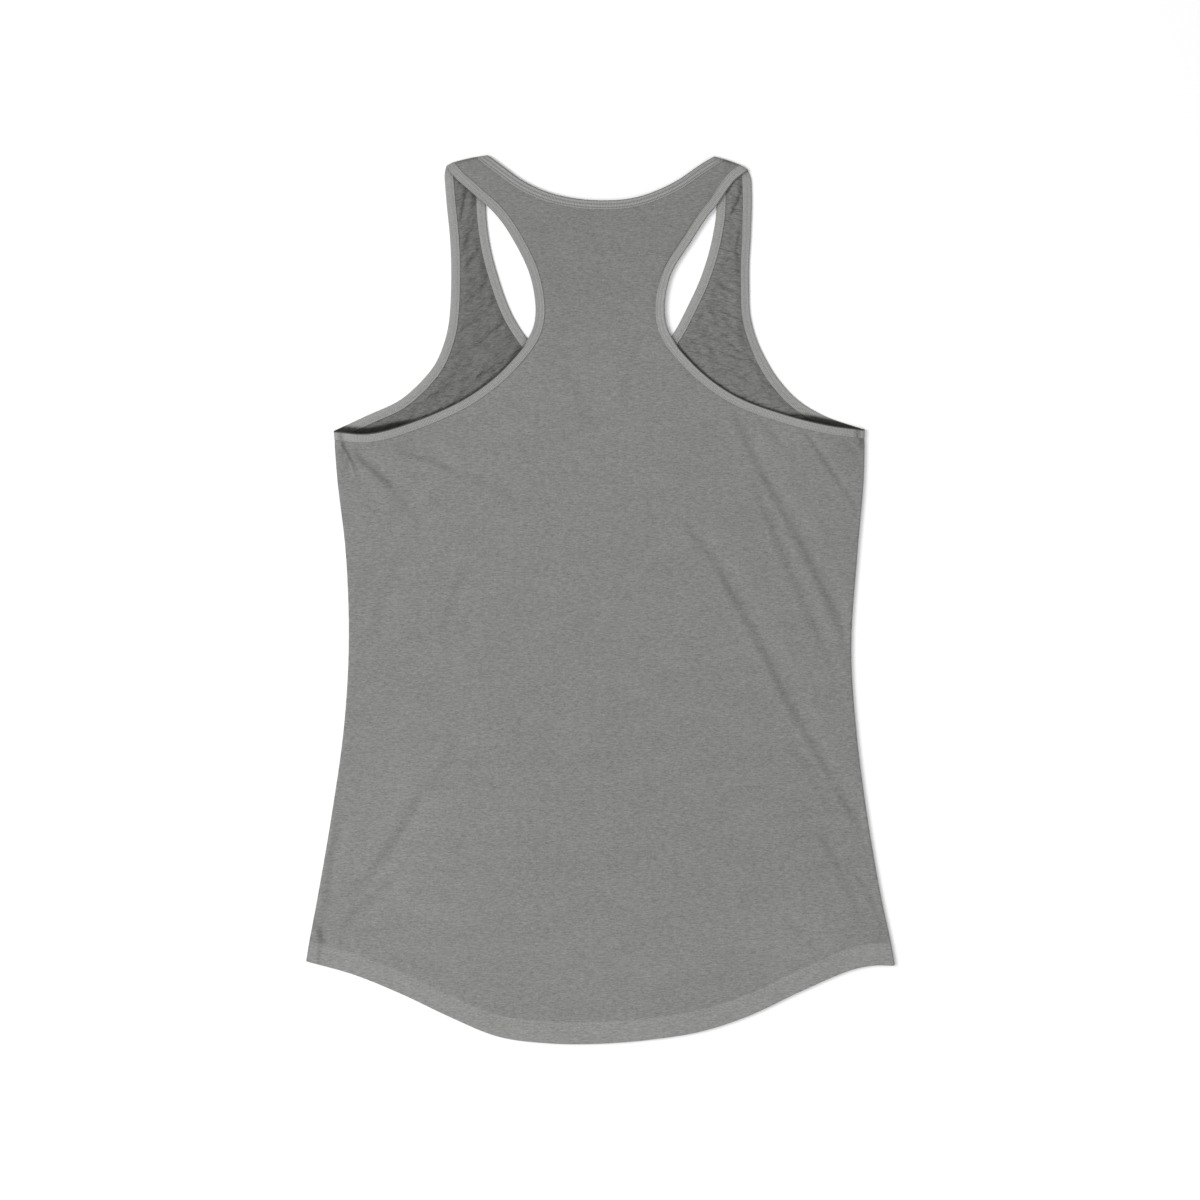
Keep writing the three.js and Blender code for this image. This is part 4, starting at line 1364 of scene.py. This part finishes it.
def hem_stitches(layer):
    """Two rows of straight stitches along the hem of a panel."""
    bm = bmesh.new()
    for side in SIDES:
        half = PANEL_HALVES[layer, side.name]
        for line in HEM_STITCH_LINES:
            track = []
            for step in range(HEM_TRACK_STEPS):
                x = side.sign * STITCH_PITCH * (0.5 + step)
                place = half.flat(Vector((x, hem_level(x) + line)))
                track.append((place, Vector((0, 0, 1 if layer == "back" else -1))))
            for place, along, up in evenly(track, STITCH_PITCH):
                add_grain(bm, place + up * HEM_THREAD_PROUD, along, up, STITCH_LENGTH)
    stitches = stitch_object(f"{layer}_hem_stitches", bm)
    return stitches


back_hem_stitches = hem_stitches("back")
front_hem_stitches = hem_stitches("front")

# %% [markdown]

# %% [markdown]
# ## Table, light and camera
# The shirt lies on a plain white table. A large soft key lamp at the left rakes across the cloth
# and draws the creases. A broad fill lamp overhead and the room's white light soften the shadows,
# so only a thin soft one shows at the right. The camera hangs straight above the middle.

# %% Stage
FLOOR_LEVEL = -0.00015
CAMERA_PLACE = (-0.0004, -0.0008, 2.6)
ROOM_LIGHT = 0.54
Lamp = namedtuple("Lamp", "name place size energy")
LAMPS = [
    Lamp("key_lamp", (-2.35, 0.3, 2.5), 2.0, 83),
    Lamp("fill_lamp", (-0.3, -1.2, 3.1), 2.4, 32),
]


def make_floor():
    """A plain white table top."""
    material = bpy.data.materials.new("white_table")
    material.use_nodes = True
    shader = material.node_tree.nodes["Principled BSDF"]
    shader.inputs["Base Color"].default_value = (0.9, 0.9, 0.9, 1)
    shader.inputs["Roughness"].default_value = 0.9
    shader.inputs["Specular IOR Level"].default_value = 0.1
    bm = bmesh.new()
    bmesh.ops.create_grid(bm, x_segments=1, y_segments=1, size=4)
    bmesh.ops.translate(bm, verts=bm.verts, vec=(0, 0, FLOOR_LEVEL))
    floor = finish_mesh("table_top", bm, [material], smooth=False)


def add_lamp(one):
    """A round soft lamp that points at the middle of the table."""
    lamp = bpy.data.lights.new(one.name, "AREA")
    lamp.shape = "DISK"
    lamp.size = one.size
    lamp.energy = one.energy
    holder = bpy.data.objects.new(one.name, lamp)
    holder.location = one.place
    holder.rotation_euler = (-Vector(one.place)).to_track_quat("-Z", "Y").to_euler()
    bpy.context.scene.collection.objects.link(holder)


def make_light():
    """The white room and both lamps."""
    world = bpy.data.worlds.new("white_room")
    bpy.context.scene.world = world
    world.use_nodes = True
    room = world.node_tree.nodes["Background"]
    room.inputs["Color"].default_value = (1, 1, 1, 1)
    room.inputs["Strength"].default_value = ROOM_LIGHT
    for one in LAMPS:
        add_lamp(one)


def make_camera():
    """The camera looks straight down, which is how a new camera object already points."""
    lens = bpy.data.cameras.new("camera")
    lens.lens = 100
    lens.sensor_width = 36
    holder = bpy.data.objects.new("camera", lens)
    holder.location = CAMERA_PLACE
    bpy.context.scene.collection.objects.link(holder)
    bpy.context.scene.camera = holder


make_floor()
make_light()
make_camera()
bpy.context.scene.view_settings.view_transform = "Standard"
